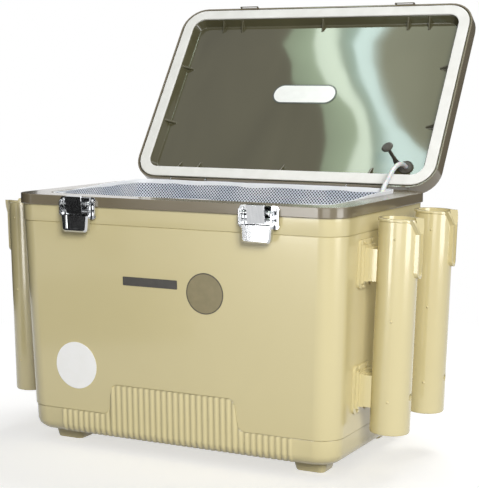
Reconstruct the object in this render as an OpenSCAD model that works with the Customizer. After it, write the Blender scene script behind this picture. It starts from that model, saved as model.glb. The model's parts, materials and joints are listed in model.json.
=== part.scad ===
// Live-bait cooler box, standing open: an insulated tub with a net bag, a hinged lid with an
// airline port, two draw latches, four rod holders and an air pump on the back.
// Millimetres, +Z up, front towards -Y. Lid pieces are drawn closed and turned open about the hinge.

/* [Tub] */
// Width of the tub over its rim trim
tub_w = 500; // [460:5:560]
// Depth of the tub over its rim trim
tub_d = 326; // [300:2:380]
// Height of the rim trim's top above the floor
tub_h = 352; // [330:2:400]
// Height of the rim trim's band
trim_h = 13.8; // [10:0.2:18]
// How far the trim stands out from the wall below it
trim_lip = 3; // [2:0.5:5]
// Radius of the tub's vertical corners at the trim
corner_r = 36; // [28:1:48]
// Lean of the two side walls
side_lean = 1.8; // [0.5:0.1:3]
// Lean of the front and back walls
front_lean = 2.2; // [0.5:0.1:3]
// Radius of the edge round the underside
bottom_r = 14; // [8:1:20]
// Wall of the outer shell
shell_t = 3; // [2:0.5:4]
// Wall of the inner liner
liner_t = 2.5; // [2:0.5:4]
// Width of the opening inside the liner
opening_w = 432; // [400:2:440]
// Depth of the opening inside the liner
opening_d = 258; // [230:2:266]
// Height of the liner's floor above the underside of the tub
floor_t = 34; // [25:1:45]
// Radius of the liner's vertical corners
liner_r = 24; // [16:1:30]
// Height of the feet
foot_h = 16; // [12:1:24]
// Width of a foot
foot_w = 42; // [30:1:50]
// Depth of a foot
foot_d = 36; // [26:1:44]
// Distance from the tub's side to the middle of a foot
foot_side = 62; // [56:1:80]
// Distance from the tub's front or back to the middle of a foot
foot_end = 65; // [56:1:80]

/* [Front panel] */
// Distance of the step line below the trim
step_down = 23.2; // [16:0.2:30]
// Height of the top of the lower band
band_z = 50; // [40:1:60]
// Height of the top of the ribbed panel
panel_z = 92.5; // [80:0.5:120]
// Width of the ribbed panel's top
panel_top_w = 170; // [120:5:200]
// Width of each curved flank of the ribbed panel
panel_flank_w = 24; // [20:1:40]
// Number of ribs
rib_count = 40; // [30:1:46]
// Width over all the ribs
rib_span = 358; // [300:2:380]
// Height of a rib above the lower band
rib_h = 3; // [2:0.1:3.4]
// How far the band lies behind the wall above it
band_step = 1.2; // [0.6:0.1:1.6]

/* [Lid] */
// Angle that the lid stands open
lid_angle = 124.2; // [100:0.2:126]
// Thickness of the lid from its gasket face to its top
lid_t = 29.3; // [26:0.1:36]
// Overhang of the lid past the trim at the front and sides
lid_over = 4.2; // [3:0.1:5]
// Wall of the lid's shell and panel
lid_wall = 2.5; // [2:0.1:3.5]
// Width of the gasket strip
gasket_w = 17; // [12:1:20]
// Thickness of the gasket strip
gasket_t = 3.5; // [2.5:0.5:5]
// Depth of the inner panel behind the gasket face
pan_depth = 16; // [12:0.5:18]
// Height of the hinge axis above the trim
hinge_up = 2.5; // [2:0.1:4]
// Distance of the hinge axis behind the trim
hinge_back = 2.6; // [2:0.1:4]
// Distance of the two hinges from the middle
hinge_x = 150; // [120:5:180]
// Width of a hinge
hinge_w = 60; // [50:2:80]

/* [Port and airline] */
// Place of the port across the lid
port_x = 199; // [180:1:205]
// Distance of the port in front of the hinge axis
port_in = 43; // [40:1:60]
// Radius of the port's hole
port_r = 9; // [7:0.5:11]
// Radius of the airline
hose_r = 3.5; // [2.5:0.5:4]

/* [Rod holders] */
// Outer radius of a rod holder
holder_r = 26.3; // [24:0.1:30]
// Wall of a rod holder
holder_t = 3.5; // [2.5:0.5:5]
// Length of a rod holder
holder_l = 281; // [240:1:300]
// Distance of a holder's axis from the side wall
holder_out = 43.4; // [40:0.1:50]
// Distance of each holder's axis from the middle of the side
holder_y = 68.8; // [60:0.2:80]
// Depth of the slot in a holder's top
slot_depth = 73; // [60:1:90]
// Half width of the slot
slot_r = 5; // [4:0.5:7]
// Half width of the slot's mouth
mouth_r = 16.5; // [10:0.5:18]
// Depth of the slot's mouth
mouth_depth = 19; // [12:1:24]
// Height of a bracket plate
bracket_h = 64; // [56:1:72]
// Width of a bracket plate
bracket_w = 54; // [50:1:64]
// Width of the block on a bracket plate
socket_w = 34; // [28:1:38]
// Height of the block on a bracket plate
socket_h = 44; // [36:1:46]

/* [Latches] */
// Distance of each latch from the middle
latch_x = 137; // [110:1:170]
// Width of a latch's base plate
latch_w = 57; // [52:1:66]
// Height of a latch's base plate
latch_h = 30; // [28:1:34]
// Width of a lever over its side flanges
lever_w = 43.6; // [40:0.2:44]
// Length of a lever below its pivot
lever_l = 38; // [32:1:46]
// Lever travel from closed to open
lever_travel = 100; // [80:5:100]
// Lean of the free claw away from the lid
claw_lean = 9; // [8:0.5:14]

/* [Air pump] */
// Width of the pump's case
pump_w = 70; // [60:1:80]
// Height of the pump's case
pump_h = 110; // [100:1:130]
// Depth of the pump's case
pump_d = 36; // [32:1:44]
// Place of the pump across the tub's back
pump_x = 190; // [150:1:195]
// Height of the pump's foot above the floor
pump_z = 159; // [120:1:180]
// Travel of the pump's switch
switch_travel = 8; // [5:1:10]

/* [Hidden] */

$fn = 48;
// Shared clearances
fit = 0.1;
pin_play = 0.05;
through = 2;

// Tub levels and walls
trim_z = tub_h - trim_h;
web_t = 3;
rim_z = tub_h - web_t - fit;
wall_hx = tub_w / 2 - trim_lip;
wall_hy = tub_d / 2 - trim_lip;
wall_r = corner_r - trim_lip;
upper_step = 0.8;
upper_step_z = trim_z - step_down;
foot_x = tub_w / 2 - foot_side;
foot_y = tub_d / 2 - foot_end;
// Shadow lines: the groove under the rim's step and round the ribbed panel
groove_h = 1.3;
groove_in = 0.9;
band_off = -upper_step - band_step;
inner_off = band_off - shell_t;
liner_z = foot_h + floor_t;
step_ease = 0.3;
corner_steps = 8;
rib_steps = 4;

function wall_x(z) = wall_hx - (trim_z - min(z, trim_z)) * tan(side_lean);
function wall_y(z) = wall_hy - (trim_z - min(z, trim_z)) * tan(front_lean);
function liner_x(z) = opening_w / 2 - (tub_h - z) * tan(side_lean);
function liner_y(z) = opening_d / 2 - (tub_h - z) * tan(front_lean);

// Hinge, lid and port
hinge_y = tub_d / 2 + hinge_back;
hinge_z = tub_h + hinge_up;
gasket_gap = 0.5;
gasket_z = tub_h + gasket_gap;
lid_top = gasket_z + lid_t;
lid_rim_z = gasket_z + 1.2;
lid_rear = hinge_y - 1.3;
lid_front = -tub_d / 2 - lid_over;
lid_hx = tub_w / 2 + lid_over;
lid_hy = (lid_rear - lid_front) / 2;
lid_y = (lid_rear + lid_front) / 2;
lid_r = corner_r + lid_over;
lid_edge_r = 8;
gasket_hx = tub_w / 2 - 0.5;
gasket_hy = (hinge_y - 5.6 + tub_d / 2) / 2;
gasket_y = (hinge_y - 5.6 - tub_d / 2) / 2;
gasket_r = corner_r;
flange_z = gasket_z + gasket_t;
pan_z = gasket_z + pan_depth;
pan_hx = gasket_hx - gasket_w;
pan_hy = gasket_hy - gasket_w;
pan_r = gasket_r - gasket_w;
pan_slope = 6;
knuckle_r = 3;
hinge_pin_r = 1.5;
leaf_t = 1.5;
port_y = hinge_y - port_in;

// Middle of the open box, front to back, which the origin stands under
pivot_u = 7;
claw_u = 9.6;
claw_t = 1.2;
claw_len = 20.8;
front_reach = -tub_d / 2 - pivot_u - claw_len * sin(claw_lean)
    - (claw_u + claw_t - pivot_u) * cos(claw_lean);
lid_reach = hinge_y + (hinge_y - lid_front - lid_edge_r) * -cos(lid_angle)
    + (lid_top - lid_edge_r - hinge_z) * sin(lid_angle) + lid_edge_r;
origin_y = (front_reach + lid_reach) / 2;

module at_origin() translate([0, -origin_y, 0]) children();

module lid_open()
    at_origin() translate([0, hinge_y, hinge_z]) rotate([-lid_angle, 0, 0])
        translate([0, -hinge_y, -hinge_z]) children();

// ---- shared shapes ----

function corner(cx, cy, r, start, n) =
    [for (i = [0:n]) [cx + r * cos(start + 90 * i / n), cy + r * sin(start + 90 * i / n)]];

// Level ring of a rounded rectangle, counter-clockwise from above
function ring(hx, hy, r, z, y = 0, n = corner_steps) =
    [for (p = concat(corner(hx - r, y + hy - r, r, 0, n), corner(r - hx, y + hy - r, r, 90, n),
                     corner(r - hx, y + r - hy, r, 180, n), corner(hx - r, y + r - hy, r, 270, n)))
        [p.x, p.y, z]];

// Closed solid through rings that all have the same number of points
module loft(rings) {
    n = len(rings[0]);
    rows = len(rings);
    points = [for (r = rings) each r];
    sides = [for (i = [0:rows - 2]) for (j = [0:n - 1])
        let (a = i * n + j, b = i * n + (j + 1) % n, c = b + n, d = a + n)
        each [[a, d, c], [a, c, b]]];
    polyhedron(points, concat([[for (j = [0:n - 1]) j]], sides,
                              [[for (j = [n - 1:-1:0]) (rows - 1) * n + j]]), convexity = 8);
}

module rounded_plate(w, d, r, h)
    linear_extrude(h) rounded_outline(w, d, r);

module rounded_outline(w, d, r) {
    square([w - 2 * r, d], center = true);
    square([w, d - 2 * r], center = true);
    for (x = [-1, 1]) for (y = [-1, 1])
        translate([x * (w / 2 - r), y * (d / 2 - r)]) circle(r);
}

// Local frames: on a side wall X points out and Z up the wall, on the front wall -Y points out
module on_side(side)
    at_origin() mirror([side < 0 ? 1 : 0, 0, 0])
        translate([wall_hx, 0, trim_z]) rotate([0, side_lean, 0]) children();

module on_front()
    at_origin() translate([0, -wall_hy + upper_step, trim_z]) rotate([front_lean, 0, 0]) children();

// Screw with its head's underside at z = 0 and its shank downwards
module screw(head_r, head_h, shank_r, shank_l) {
    rotate_extrude()
        polygon([[0, 0], [head_r, 0], [head_r, head_h * 0.5], [head_r * 0.6, head_h], [0, head_h]]);
    translate([0, 0, -shank_l]) cylinder(h = shank_l, r = shank_r);
}

// Hole for a screw's shank through the plate that the screw holds
module screw_hole(shank_r) translate([0, 0, -10]) cylinder(h = 20, r = shank_r + fit);

// ---- tub ----

function rib_wave(i) = let (f = (i % rib_steps) / rib_steps) f == 0 ? 0 : sqrt(1 - pow(2 * f - 1, 2));

// Flank of the ribbed panel: a round shoulder, a steep run and a round foot
flank_turn = 0.45;
flank_round = 0.27;
function shoulder(t) = flank_round * (1 - sqrt(1 - pow(t / flank_turn, 2)));
function flank(t) =
    t <= 0 ? 1 : t >= 1 ? 0 :
    t < flank_turn ? 1 - shoulder(t) : t > 1 - flank_turn ? shoulder(1 - t) :
    flank_round + (1 - 2 * flank_round) * (1 - flank_turn - t) / (1 - 2 * flank_turn);
function panel_rise(x) = (panel_z - band_z) * flank((abs(x) - panel_top_w / 2) / panel_flank_w);
// A line round the panel is as wide on the flanks as on the level
function panel_line(x) =
    let (d = 1, slope = (panel_rise(abs(x) - d) - panel_rise(abs(x) + d)) / (2 * d))
    min(4, sqrt(1 + slope * slope));

// Ring of the outer shell. The front has columns for the ribs: follow raises them to the panel's edge,
// and line sets them that far above it, square to the edge
function shell_ring(z, off, follow = 0, ribs = 0, line = 0) =
    let (hx = wall_x(z) + off, hy = wall_y(z) + off, r = wall_r + min(0, off / 2))
    concat(
        [for (p = corner(hx - r, hy - r, r, 0, corner_steps)) [p.x, p.y, z]],
        [for (p = corner(r - hx, hy - r, r, 90, corner_steps)) [p.x, p.y, z]],
        [for (p = corner(r - hx, r - hy, r, 180, corner_steps)) [p.x, p.y, z]],
        [for (i = [0:rib_count * rib_steps])
            let (x = -rib_span / 2 + i * rib_span / (rib_count * rib_steps),
                 up = z + follow * panel_rise(x) + line * (panel_line(x) - 1))
            [x, -wall_y(up) - off - ribs * rib_h * rib_wave(i), up]],
        [for (p = corner(hx - r, r - hy, r, 270, corner_steps)) [p.x, p.y, z]]);

module tub_shell() {
    inner_r = bottom_r - shell_t;
    color("#D3C79A") at_origin() loft(concat(
        [for (a = [0, 30, 60, 90])
            shell_ring(foot_h + bottom_r * (1 - cos(a)), band_off - bottom_r * (1 - sin(a)), 0, a > 0 ? 1 : 0.2)],
        [shell_ring(band_z, band_off, 1, 1),
         shell_ring(band_z + step_ease, band_off - groove_in, 1, 0, step_ease),
         shell_ring(band_z + groove_h, band_off - groove_in, 1, 0, groove_h),
         shell_ring(band_z + groove_h + step_ease, -upper_step, 1, 0, groove_h + step_ease),
         shell_ring(upper_step_z - groove_h, -upper_step),
         shell_ring(upper_step_z - groove_h + step_ease, -upper_step - groove_in),
         shell_ring(upper_step_z, -upper_step - groove_in),
         shell_ring(upper_step_z + step_ease, 0),
         shell_ring(trim_z, 0),
         shell_ring(rim_z, -fit),
         shell_ring(rim_z, inner_off)],
        [for (a = [90, 45, 0])
            shell_ring(foot_h + shell_t + inner_r * (1 - cos(a)), inner_off - inner_r * (1 - sin(a)))]));
}

module tub_foam() {
    off = inner_off - fit;
    top = rim_z - fit;
    r = wall_r + inner_off / 2 - fit;
    core_r = bottom_r - shell_t;
    low = foot_h + shell_t + fit;
    shell = liner_t + fit;
    color("#EFE9C8") at_origin() loft([
        ring(wall_x(low) + off - core_r, wall_y(low) + off - core_r, r - core_r / 2, low),
        ring(wall_x(low) + off, wall_y(low) + off, r, low + core_r),
        ring(wall_x(top) + off, wall_y(top) + off, r, top),
        ring(liner_x(top) + shell, liner_y(top) + shell, liner_r + shell, top),
        ring(liner_x(liner_z) + shell, liner_y(liner_z) + shell, liner_r + shell, liner_z),
        ring(liner_x(liner_z) - 6, liner_y(liner_z) - 6, liner_r - 6, liner_z - shell)]);
}

module tub_liner() {
    low = liner_z - liner_t;
    color("#F4F4EF") at_origin() loft([
        ring(liner_x(low) - 6, liner_y(low) - 6, liner_r - 6, low),
        ring(liner_x(liner_z) + liner_t, liner_y(liner_z) + liner_t, liner_r + liner_t, liner_z + 6),
        ring(liner_x(rim_z) + liner_t, liner_y(rim_z) + liner_t, liner_r + liner_t, rim_z),
        ring(liner_x(rim_z), liner_y(rim_z), liner_r, rim_z),
        ring(liner_x(liner_z), liner_y(liner_z), liner_r, liner_z + 8),
        ring(liner_x(liner_z) - 8, liner_y(liner_z) - 8, liner_r - 8, liner_z)]);
}

module rim_trim() {
    color("#857A68") at_origin() difference() {
        translate([0, 0, trim_z]) rounded_plate(tub_w, tub_d, corner_r, trim_h);
        translate([0, 0, trim_z - through])
            rounded_plate(2 * wall_hx + fit, 2 * wall_hy + fit, wall_r + fit / 2, trim_h - web_t + through);
        translate([0, 0, trim_z - through])
            rounded_plate(opening_w, opening_d, liner_r, trim_h + 2 * through);
    }
}

module foot(x, y) {
    slope = 4;
    color("#CFC397") at_origin() translate([x * foot_x, y * foot_y, 0]) loft([
        ring(foot_w / 2 - 1, foot_d / 2 - 1, 7, 0),
        ring(foot_w / 2, foot_d / 2, 8, 2),
        ring(foot_w / 2 + slope, foot_d / 2 + slope, 8 + slope, foot_h - fit / 2)]);
}

module foot_front_left() foot(-1, -1);
module foot_front_right() foot(1, -1);
module foot_rear_left() foot(-1, 1);
module foot_rear_right() foot(1, 1);

// ---- net bag: a thin cup that stands for the mesh, and the webbing hem round its top ----

net_gap = 3;
net_t = 1.5;
hem_h = 24;
hem_up = 5;
hem_t = 2.2;
hem_low = tub_h + hem_up - hem_h;

module net_bag() {
    low = liner_z + net_gap;
    r = liner_r - net_gap;
    soft_r = 12;
    color("#E8ECF2") at_origin() loft([
        ring(liner_x(low) - net_gap - soft_r, liner_y(low) - net_gap - soft_r, r - soft_r / 2, low),
        ring(liner_x(low) - net_gap, liner_y(low) - net_gap, r, low + soft_r),
        ring(liner_x(hem_low) - net_gap, liner_y(hem_low) - net_gap, r, hem_low),
        ring(liner_x(hem_low) - net_gap - net_t, liner_y(hem_low) - net_gap - net_t, r - net_t, hem_low),
        ring(liner_x(low) - net_gap - net_t, liner_y(low) - net_gap - net_t, r - net_t, low + soft_r),
        ring(liner_x(low) - net_gap - net_t - soft_r, liner_y(low) - net_gap - net_t - soft_r,
             r - net_t - soft_r / 2, low + net_t)]);
}

module net_hem() {
    out = 1.2;
    color("#F2F3F5") at_origin() translate([0, 0, hem_low]) difference() {
        rounded_plate(opening_w - 2 * out, opening_d - 2 * out, liner_r - out, hem_h);
        translate([0, 0, -through])
            rounded_plate(opening_w - 2 * (out + hem_t), opening_d - 2 * (out + hem_t),
                          liner_r - out - hem_t, hem_h + 2 * through);
    }
}

// ---- label places: plain plates with nothing printed on them ----

label_t = 0.5;

module label_place(x, z) on_front() translate([x, -fit, z - trim_z]) rotate([90, 0, 0]) children();

bar_w = 84;
bar_h = 12;
bar_at = [-29.3, 239.7];
disc_r = 27.5;
disc_at = [54, 231];
low_disc_r = 33;
low_disc_at = [-151, 115];
lid_label_w = 110;
lid_label_h = 36;

module front_labels() {
    color("#3A3833") label_place(bar_at.x, bar_at.y) rounded_plate(bar_w, bar_h, 1, label_t);
    color("#7A6F4E") label_place(disc_at.x, disc_at.y) cylinder(h = label_t, r = disc_r);
    color("#FFFFFF") label_place(low_disc_at.x, low_disc_at.y) cylinder(h = label_t, r = low_disc_r);
}

module lid_label() {
    color("#FFFFFF") lid_open() translate([0, lid_y - 5, pan_z - label_t - fit])
        rounded_plate(lid_label_w, lid_label_h, lid_label_h / 2 - 0.1, label_t);
}

// ---- rod holders and their brackets ----

bore_r = holder_r - holder_t;
holder_top = -1.9;
bead_r = 1.5;
bead_h = 3;
lip_w = 3;
lip_h = 5.2;
// Distances of the brackets' middles below the trim and above a holder's foot
bracket_drop = 63.7;
bracket_rise = 53.7;
upper_bracket_z = trim_z - bracket_drop;
lower_bracket_z = trim_z + holder_top - holder_l + bracket_rise;
plate_t = 3;
socket_out = 11;
pin_hole_r = 4.5;
// Small pips down a holder's outside, below its top
pip_places = [-25, 9.5 - holder_l / 2, 45 - holder_l];

// Slot and mouth seen square on, with the top edge at z = 0
module slot_outline(grow) {
    polygon([[-mouth_r - grow, through + grow], [-mouth_r - grow, 0], [-slot_r - grow, -mouth_depth],
             [-slot_r - grow, -slot_depth + slot_r], [slot_r + grow, -slot_depth + slot_r],
             [slot_r + grow, -mouth_depth], [mouth_r + grow, 0], [mouth_r + grow, through + grow]]);
    translate([0, -slot_depth + slot_r]) circle(slot_r + grow);
}

module facing_out(depth) rotate([90, 0, 90]) linear_extrude(depth) children();

module rod_holder(side, y) {
    color("#D6CB9E") on_side(side) translate([holder_out, y, holder_top]) difference() {
        union() {
            rotate_extrude() polygon([
                [0, -holder_l], [holder_r - 3, -holder_l], [holder_r - 0.9, -holder_l + 0.9],
                [holder_r, -holder_l + 3], [holder_r, -bead_h - 1], [holder_r + bead_r, -bead_h],
                [holder_r + bead_r, -0.8], [holder_r + 0.7, 0], [0, 0]]);
            intersection() {
                translate([0, 0, -slot_depth - 2 * lip_w])
                    cylinder(h = slot_depth + 2 * lip_w, r = holder_r + lip_h);
                facing_out(2 * holder_r) slot_outline(lip_w);
            }
            for (z = [upper_bracket_z, lower_bracket_z])
                translate([socket_out + fit - holder_out, -socket_w / 2, z - trim_z - holder_top - socket_h / 2 + 1])
                    cube([holder_out - socket_out - fit - bore_r + 1, socket_w, socket_h - 2]);
            for (z = pip_places)
                translate([holder_r * cos(80), -holder_r * sin(80), z]) sphere(1.6, $fn = 16);
        }
        translate([0, 0, -holder_l + holder_t]) cylinder(h = holder_l, r = bore_r);
        facing_out(2 * holder_r) slot_outline(0);
        translate([0, 0, -holder_l + 50]) rotate([0, 90, 0]) cylinder(h = 2 * holder_r, r = pin_hole_r);
    }
}

module rod_holder_front_left() rod_holder(-1, -holder_y);
module rod_holder_front_right() rod_holder(1, -holder_y);
module rod_holder_rear_left() rod_holder(-1, holder_y);
module rod_holder_rear_right() rod_holder(1, holder_y);

bracket_screw_z = bracket_h / 2 - 3.4;
bracket_screw_y = 13;
bracket_shank_r = 1.6;

module bracket_frame(side, y, z) on_side(side) translate([-upper_step + fit, y, z - trim_z]) children();

module bracket_screw_places()
    for (dy = [-bracket_screw_y, bracket_screw_y]) for (dz = [-bracket_screw_z, bracket_screw_z])
        translate([plate_t, dy, dz]) rotate([0, 90, 0]) children();

module holder_bracket(side, y, z) {
    stage_t = 6;
    stage_w = 3;
    color("#CDC08F") bracket_frame(side, y, z) difference() {
        union() {
            rotate([90, 0, 90]) rounded_plate(bracket_w, bracket_h, 8, plate_t);
            translate([0, -socket_w / 2, -socket_h / 2])
                cube([socket_out + upper_step - fit, socket_w, socket_h]);
            translate([0, -socket_w / 2 - stage_w, -socket_h / 2 - stage_w])
                cube([stage_t, socket_w + 2 * stage_w, socket_h + 2 * stage_w]);
        }
        bracket_screw_places() screw_hole(bracket_shank_r);
    }
}

module bracket_front_left_upper() holder_bracket(-1, -holder_y, upper_bracket_z);
module bracket_front_left_lower() holder_bracket(-1, -holder_y, lower_bracket_z);
module bracket_front_right_upper() holder_bracket(1, -holder_y, upper_bracket_z);
module bracket_front_right_lower() holder_bracket(1, -holder_y, lower_bracket_z);
module bracket_rear_left_upper() holder_bracket(-1, holder_y, upper_bracket_z);
module bracket_rear_left_lower() holder_bracket(-1, holder_y, lower_bracket_z);
module bracket_rear_right_upper() holder_bracket(1, holder_y, upper_bracket_z);
module bracket_rear_right_lower() holder_bracket(1, holder_y, lower_bracket_z);

module bracket_screws() {
    color("#CDC08F")
        for (side = [-1, 1]) for (y = [-holder_y, holder_y]) for (z = [upper_bracket_z, lower_bracket_z])
            bracket_frame(side, y, z) bracket_screw_places() screw(2.9, 1.6, bracket_shank_r, 7);
}

// ---- draw latches, in a frame with X across, U = -Y out from the trim's face, Z up ----

base_t = 1.5;
pivot_z = tub_h - 10;
throw = 9.5;
claw_z = pivot_z - throw;
latch_pin_r = 1.6;
claw_pin_r = 1.4;
flange_t = 1.2;
ear_x = lever_w / 2 - flange_t - 2;
ear_t = 1.4;
claw_w = 25;
knuckle_w = 3;
lever_foot = pivot_z - lever_l;
lever_top = claw_z - 6;
latch_shank_r = 1.5;

module on_latch(side) at_origin() translate([side * latch_x, -tub_d / 2, 0]) children();

// Outline drawn in (U, Z), extruded across
module across(w) rotate([90, 0, -90]) linear_extrude(w, center = true) children();

module plate_uz(u0, u1, z0, z1, w) translate([-w / 2, -u1, z0]) cube([w, u1 - u0, z1 - z0]);

module pin_uz(u, z, r, w) translate([-w / 2, -u, z]) rotate([0, 90, 0]) cylinder(h = w, r = r);

module latch_base(side) {
    ear_r = 3.5;
    rail_out = 4.5;
    color("#D8D9DB") on_latch(side) difference() {
        union() {
            translate([0, 0, tub_h - 0.5 - latch_h / 2]) rotate([90, 0, 0])
                rounded_plate(latch_w, latch_h, 5, base_t);
            for (x = [-1, 1]) translate([x * (latch_w / 2 - base_t / 2), 0, 0])
                plate_uz(base_t / 2, rail_out, tub_h + 4.5 - latch_h, tub_h - 5.5, base_t);
            for (x = [-1, 1]) translate([x * (ear_x - ear_t / 2), 0, 0]) {
                plate_uz(base_t / 2, pivot_u, pivot_z - ear_r, pivot_z + ear_r, ear_t);
                pin_uz(pivot_u, pivot_z, ear_r, ear_t);
            }
        }
        pin_uz(pivot_u, pivot_z, latch_pin_r + pin_play, 2 * lever_w);
        latch_screw_places() screw_hole(latch_shank_r);
    }
}

module latch_screw_places()
    for (x = [-1, 1]) translate([x * (latch_w / 2 - 5.3), -base_t, tub_h - 5.4]) rotate([90, 0, 0]) children();

module latch_base_left() latch_base(-1);
module latch_base_right() latch_base(1);

module latch_pivot_pins() {
    color("#B9BBBE") for (side = [-1, 1]) on_latch(side) {
        pin_uz(pivot_u, pivot_z, latch_pin_r, lever_w + 1.6);
        for (x = [-1, 1]) translate([x * (lever_w / 2 + 0.9), 0, 0]) pin_uz(pivot_u, pivot_z, 2.6, 1);
    }
}

module latch_screws() {
    color("#C9CACC") for (side = [-1, 1]) on_latch(side)
        latch_screw_places() screw(2.6, 1.3, latch_shank_r, 9);
}

// Outline of the pressed lever in (X, Z), narrower and round-cornered at its foot, at the depth u
function lever_ring(u, inset) =
    let (wide = lever_w / 2 - inset, slim = lever_w / 2 - 1.5 - inset, r = 5 - inset / 2, low = lever_foot + inset)
    concat([[wide, -u, lever_top], [-wide, -u, lever_top]],
           [for (p = corner(r - slim, low + r, r, 180, 4)) [p.x, -u, p.y]],
           [for (p = corner(slim - r, low + r, r, 270, 4)) [p.x, -u, p.y]]);

function channel_ring(u, wide) =
    [[wide, -u, lever_top + 1], [-wide, -u, lever_top + 1],
     [1.2 - wide, -u, lever_foot + 4.5], [wide - 1.2, -u, lever_foot + 4.5]];

// The lever is a shallow pan with a sunk channel down its face, between two cheeks that carry the pins
module latch_lever(side) {
    back_u = 3.6;
    face_u = 10;
    crown_u = 12;
    color("#E2E3E5") on_latch(side) difference() {
        union() {
            for (x = [-1, 1]) translate([x * (lever_w / 2 - flange_t / 2), 0, 0]) {
                across(flange_t) polygon([
                    [back_u, pivot_z], [back_u, lever_top - 0.5], [face_u, lever_top - 0.5],
                    [face_u, claw_z], [pivot_u + 3.4, pivot_z]]);
                pin_uz(pivot_u, pivot_z, 3.4, flange_t);
            }
            difference() {
                loft([lever_ring(back_u, 0), lever_ring(face_u - 0.6, 0), lever_ring(crown_u, 2.2)]);
                loft([lever_ring(back_u - 1, flange_t), lever_ring(face_u - flange_t, flange_t)]);
                loft([channel_ring(face_u, 13.1), channel_ring(crown_u + 0.2, 13.9)]);
            }
        }
        pin_uz(pivot_u, pivot_z, latch_pin_r + pin_play, 2 * lever_w);
        pin_uz(pivot_u, claw_z, claw_pin_r + pin_play, 2 * lever_w);
    }
}

module latch_lever_left() latch_lever(-1);
module latch_lever_right() latch_lever(1);

module claw_pin(side)
    color("#B9BBBE") on_latch(side) {
        pin_uz(pivot_u, claw_z, claw_pin_r, lever_w + 1.4);
        for (x = [-1, 1]) translate([x * (lever_w / 2 + 0.7), 0, 0]) pin_uz(pivot_u, claw_z, 2.1, 0.8);
    }

module claw_pin_left() claw_pin(-1);
module claw_pin_right() claw_pin(1);

// The claw is drawn upright, as it stands when hooked, and leans out about its pin
module latch_claw(side) {
    low = claw_z - 3;
    top = claw_z + claw_len;
    hook_u = 3.6;
    color("#E6E7E9") on_latch(side)
        translate([0, -pivot_u, claw_z]) rotate([claw_lean, 0, 0]) translate([0, pivot_u, -claw_z])
            difference() {
                union() {
                    plate_uz(claw_u, claw_u + claw_t, low, top, claw_w);
                    plate_uz(hook_u, claw_u + claw_t, top - claw_t, top, claw_w);
                    for (x = [-1, 1]) translate([x * (claw_w / 2 - knuckle_w / 2), 0, 0]) {
                        pin_uz(pivot_u, claw_z, 2.8, knuckle_w);
                        plate_uz(pivot_u, claw_u + 0.5, claw_z - 2.8, claw_z + 1, knuckle_w);
                    }
                }
                pin_uz(pivot_u, claw_z, claw_pin_r + pin_play, 2 * claw_w);
            }
}

module latch_claw_left() latch_claw(-1);
module latch_claw_right() latch_claw(1);

// ---- strikes on the lid's front, drawn with the lid closed: the claw hooks through the slot ----

strike_w = 33;
strike_t = 1.1;
strike_low = tub_h - 1.6;
strike_h = 20.4;
strike_bar = 1.3;
slot_w = claw_w + 2.4;
slot_h = 2.8;
strike_shank_r = 1.4;
strike_screw_drop = 5;

module on_strike(side) lid_open() translate([side * latch_x, -tub_d / 2, 0]) children();

module strike_screw_places()
    for (x = [-9, 9]) translate([x, -lid_over - fit - strike_t, strike_low + strike_h - strike_screw_drop])
        rotate([90, 0, 0]) children();

module strike(side) {
    face = lid_over + fit;
    color("#7C7262") on_strike(side) difference() {
        translate([0, -face, strike_low + strike_h / 2]) rotate([90, 0, 0])
            rounded_plate(strike_w, strike_h, 1.2, strike_t);
        plate_uz(face - through, face + strike_t + through, strike_low + strike_bar,
                 strike_low + strike_bar + slot_h, slot_w);
        strike_screw_places() screw_hole(strike_shank_r);
    }
}

module strike_left() strike(-1);
module strike_right() strike(1);

module strike_screws()
    color("#C9CACC") for (side = [-1, 1]) on_strike(side)
        strike_screw_places() screw(2.6, 1, strike_shank_r, 3.7);

// ---- hinges ----

leaf_h = 20;
mid_w = 19.4;
mid_gap = 0.3;
hinge_shank_r = 1.6;

module along_hinge(x0, x1, r)
    translate([x0, hinge_y, hinge_z]) rotate([0, 90, 0]) cylinder(h = x1 - x0, r = r);

module hinge_tub_leaf(side) {
    back = tub_d / 2 + fit;
    color("#7C7262") at_origin() translate([side * hinge_x, 0, 0]) difference() {
        union() {
            translate([-hinge_w / 2, back, tub_h - 1 - leaf_h]) cube([hinge_w, leaf_t, leaf_h]);
            for (s = [-1, 1]) {
                a = s < 0 ? -hinge_w / 2 : mid_w / 2 + mid_gap;
                b = s < 0 ? -mid_w / 2 - mid_gap : hinge_w / 2;
                along_hinge(a, b, knuckle_r);
                translate([a, back, tub_h - 2]) cube([b - a, leaf_t, hinge_up + 2]);
            }
        }
        along_hinge(-hinge_w, hinge_w, hinge_pin_r + pin_play);
        tub_leaf_screw_places() screw_hole(hinge_shank_r);
    }
}

module tub_leaf_screw_places()
    for (x = [-20, 0, 20]) translate([x, tub_d / 2 + fit + leaf_t, tub_h - 9]) rotate([-90, 0, 0]) children();

module lid_leaf_screw_places()
    for (x = [-20, 20]) translate([x, lid_rear + fit + leaf_t, hinge_z + 13]) rotate([-90, 0, 0]) children();

module hinge_tub_leaf_left() hinge_tub_leaf(-1);
module hinge_tub_leaf_right() hinge_tub_leaf(1);

module hinge_pins()
    color("#B9BBBE") at_origin() for (side = [-1, 1]) translate([side * hinge_x, 0, 0]) {
        along_hinge(-hinge_w / 2 - 0.4, hinge_w / 2 + 0.4, hinge_pin_r);
        along_hinge(-hinge_w / 2 - 1.6, -hinge_w / 2 - 0.4, 2.6);
        along_hinge(hinge_w / 2 + 0.4, hinge_w / 2 + 1.6, 2.6);
    }

module hinge_tub_screws()
    color("#C9CACC") at_origin() for (side = [-1, 1]) translate([side * hinge_x, 0, 0])
        tub_leaf_screw_places() screw(3, 1.4, hinge_shank_r, 8.5);

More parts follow.
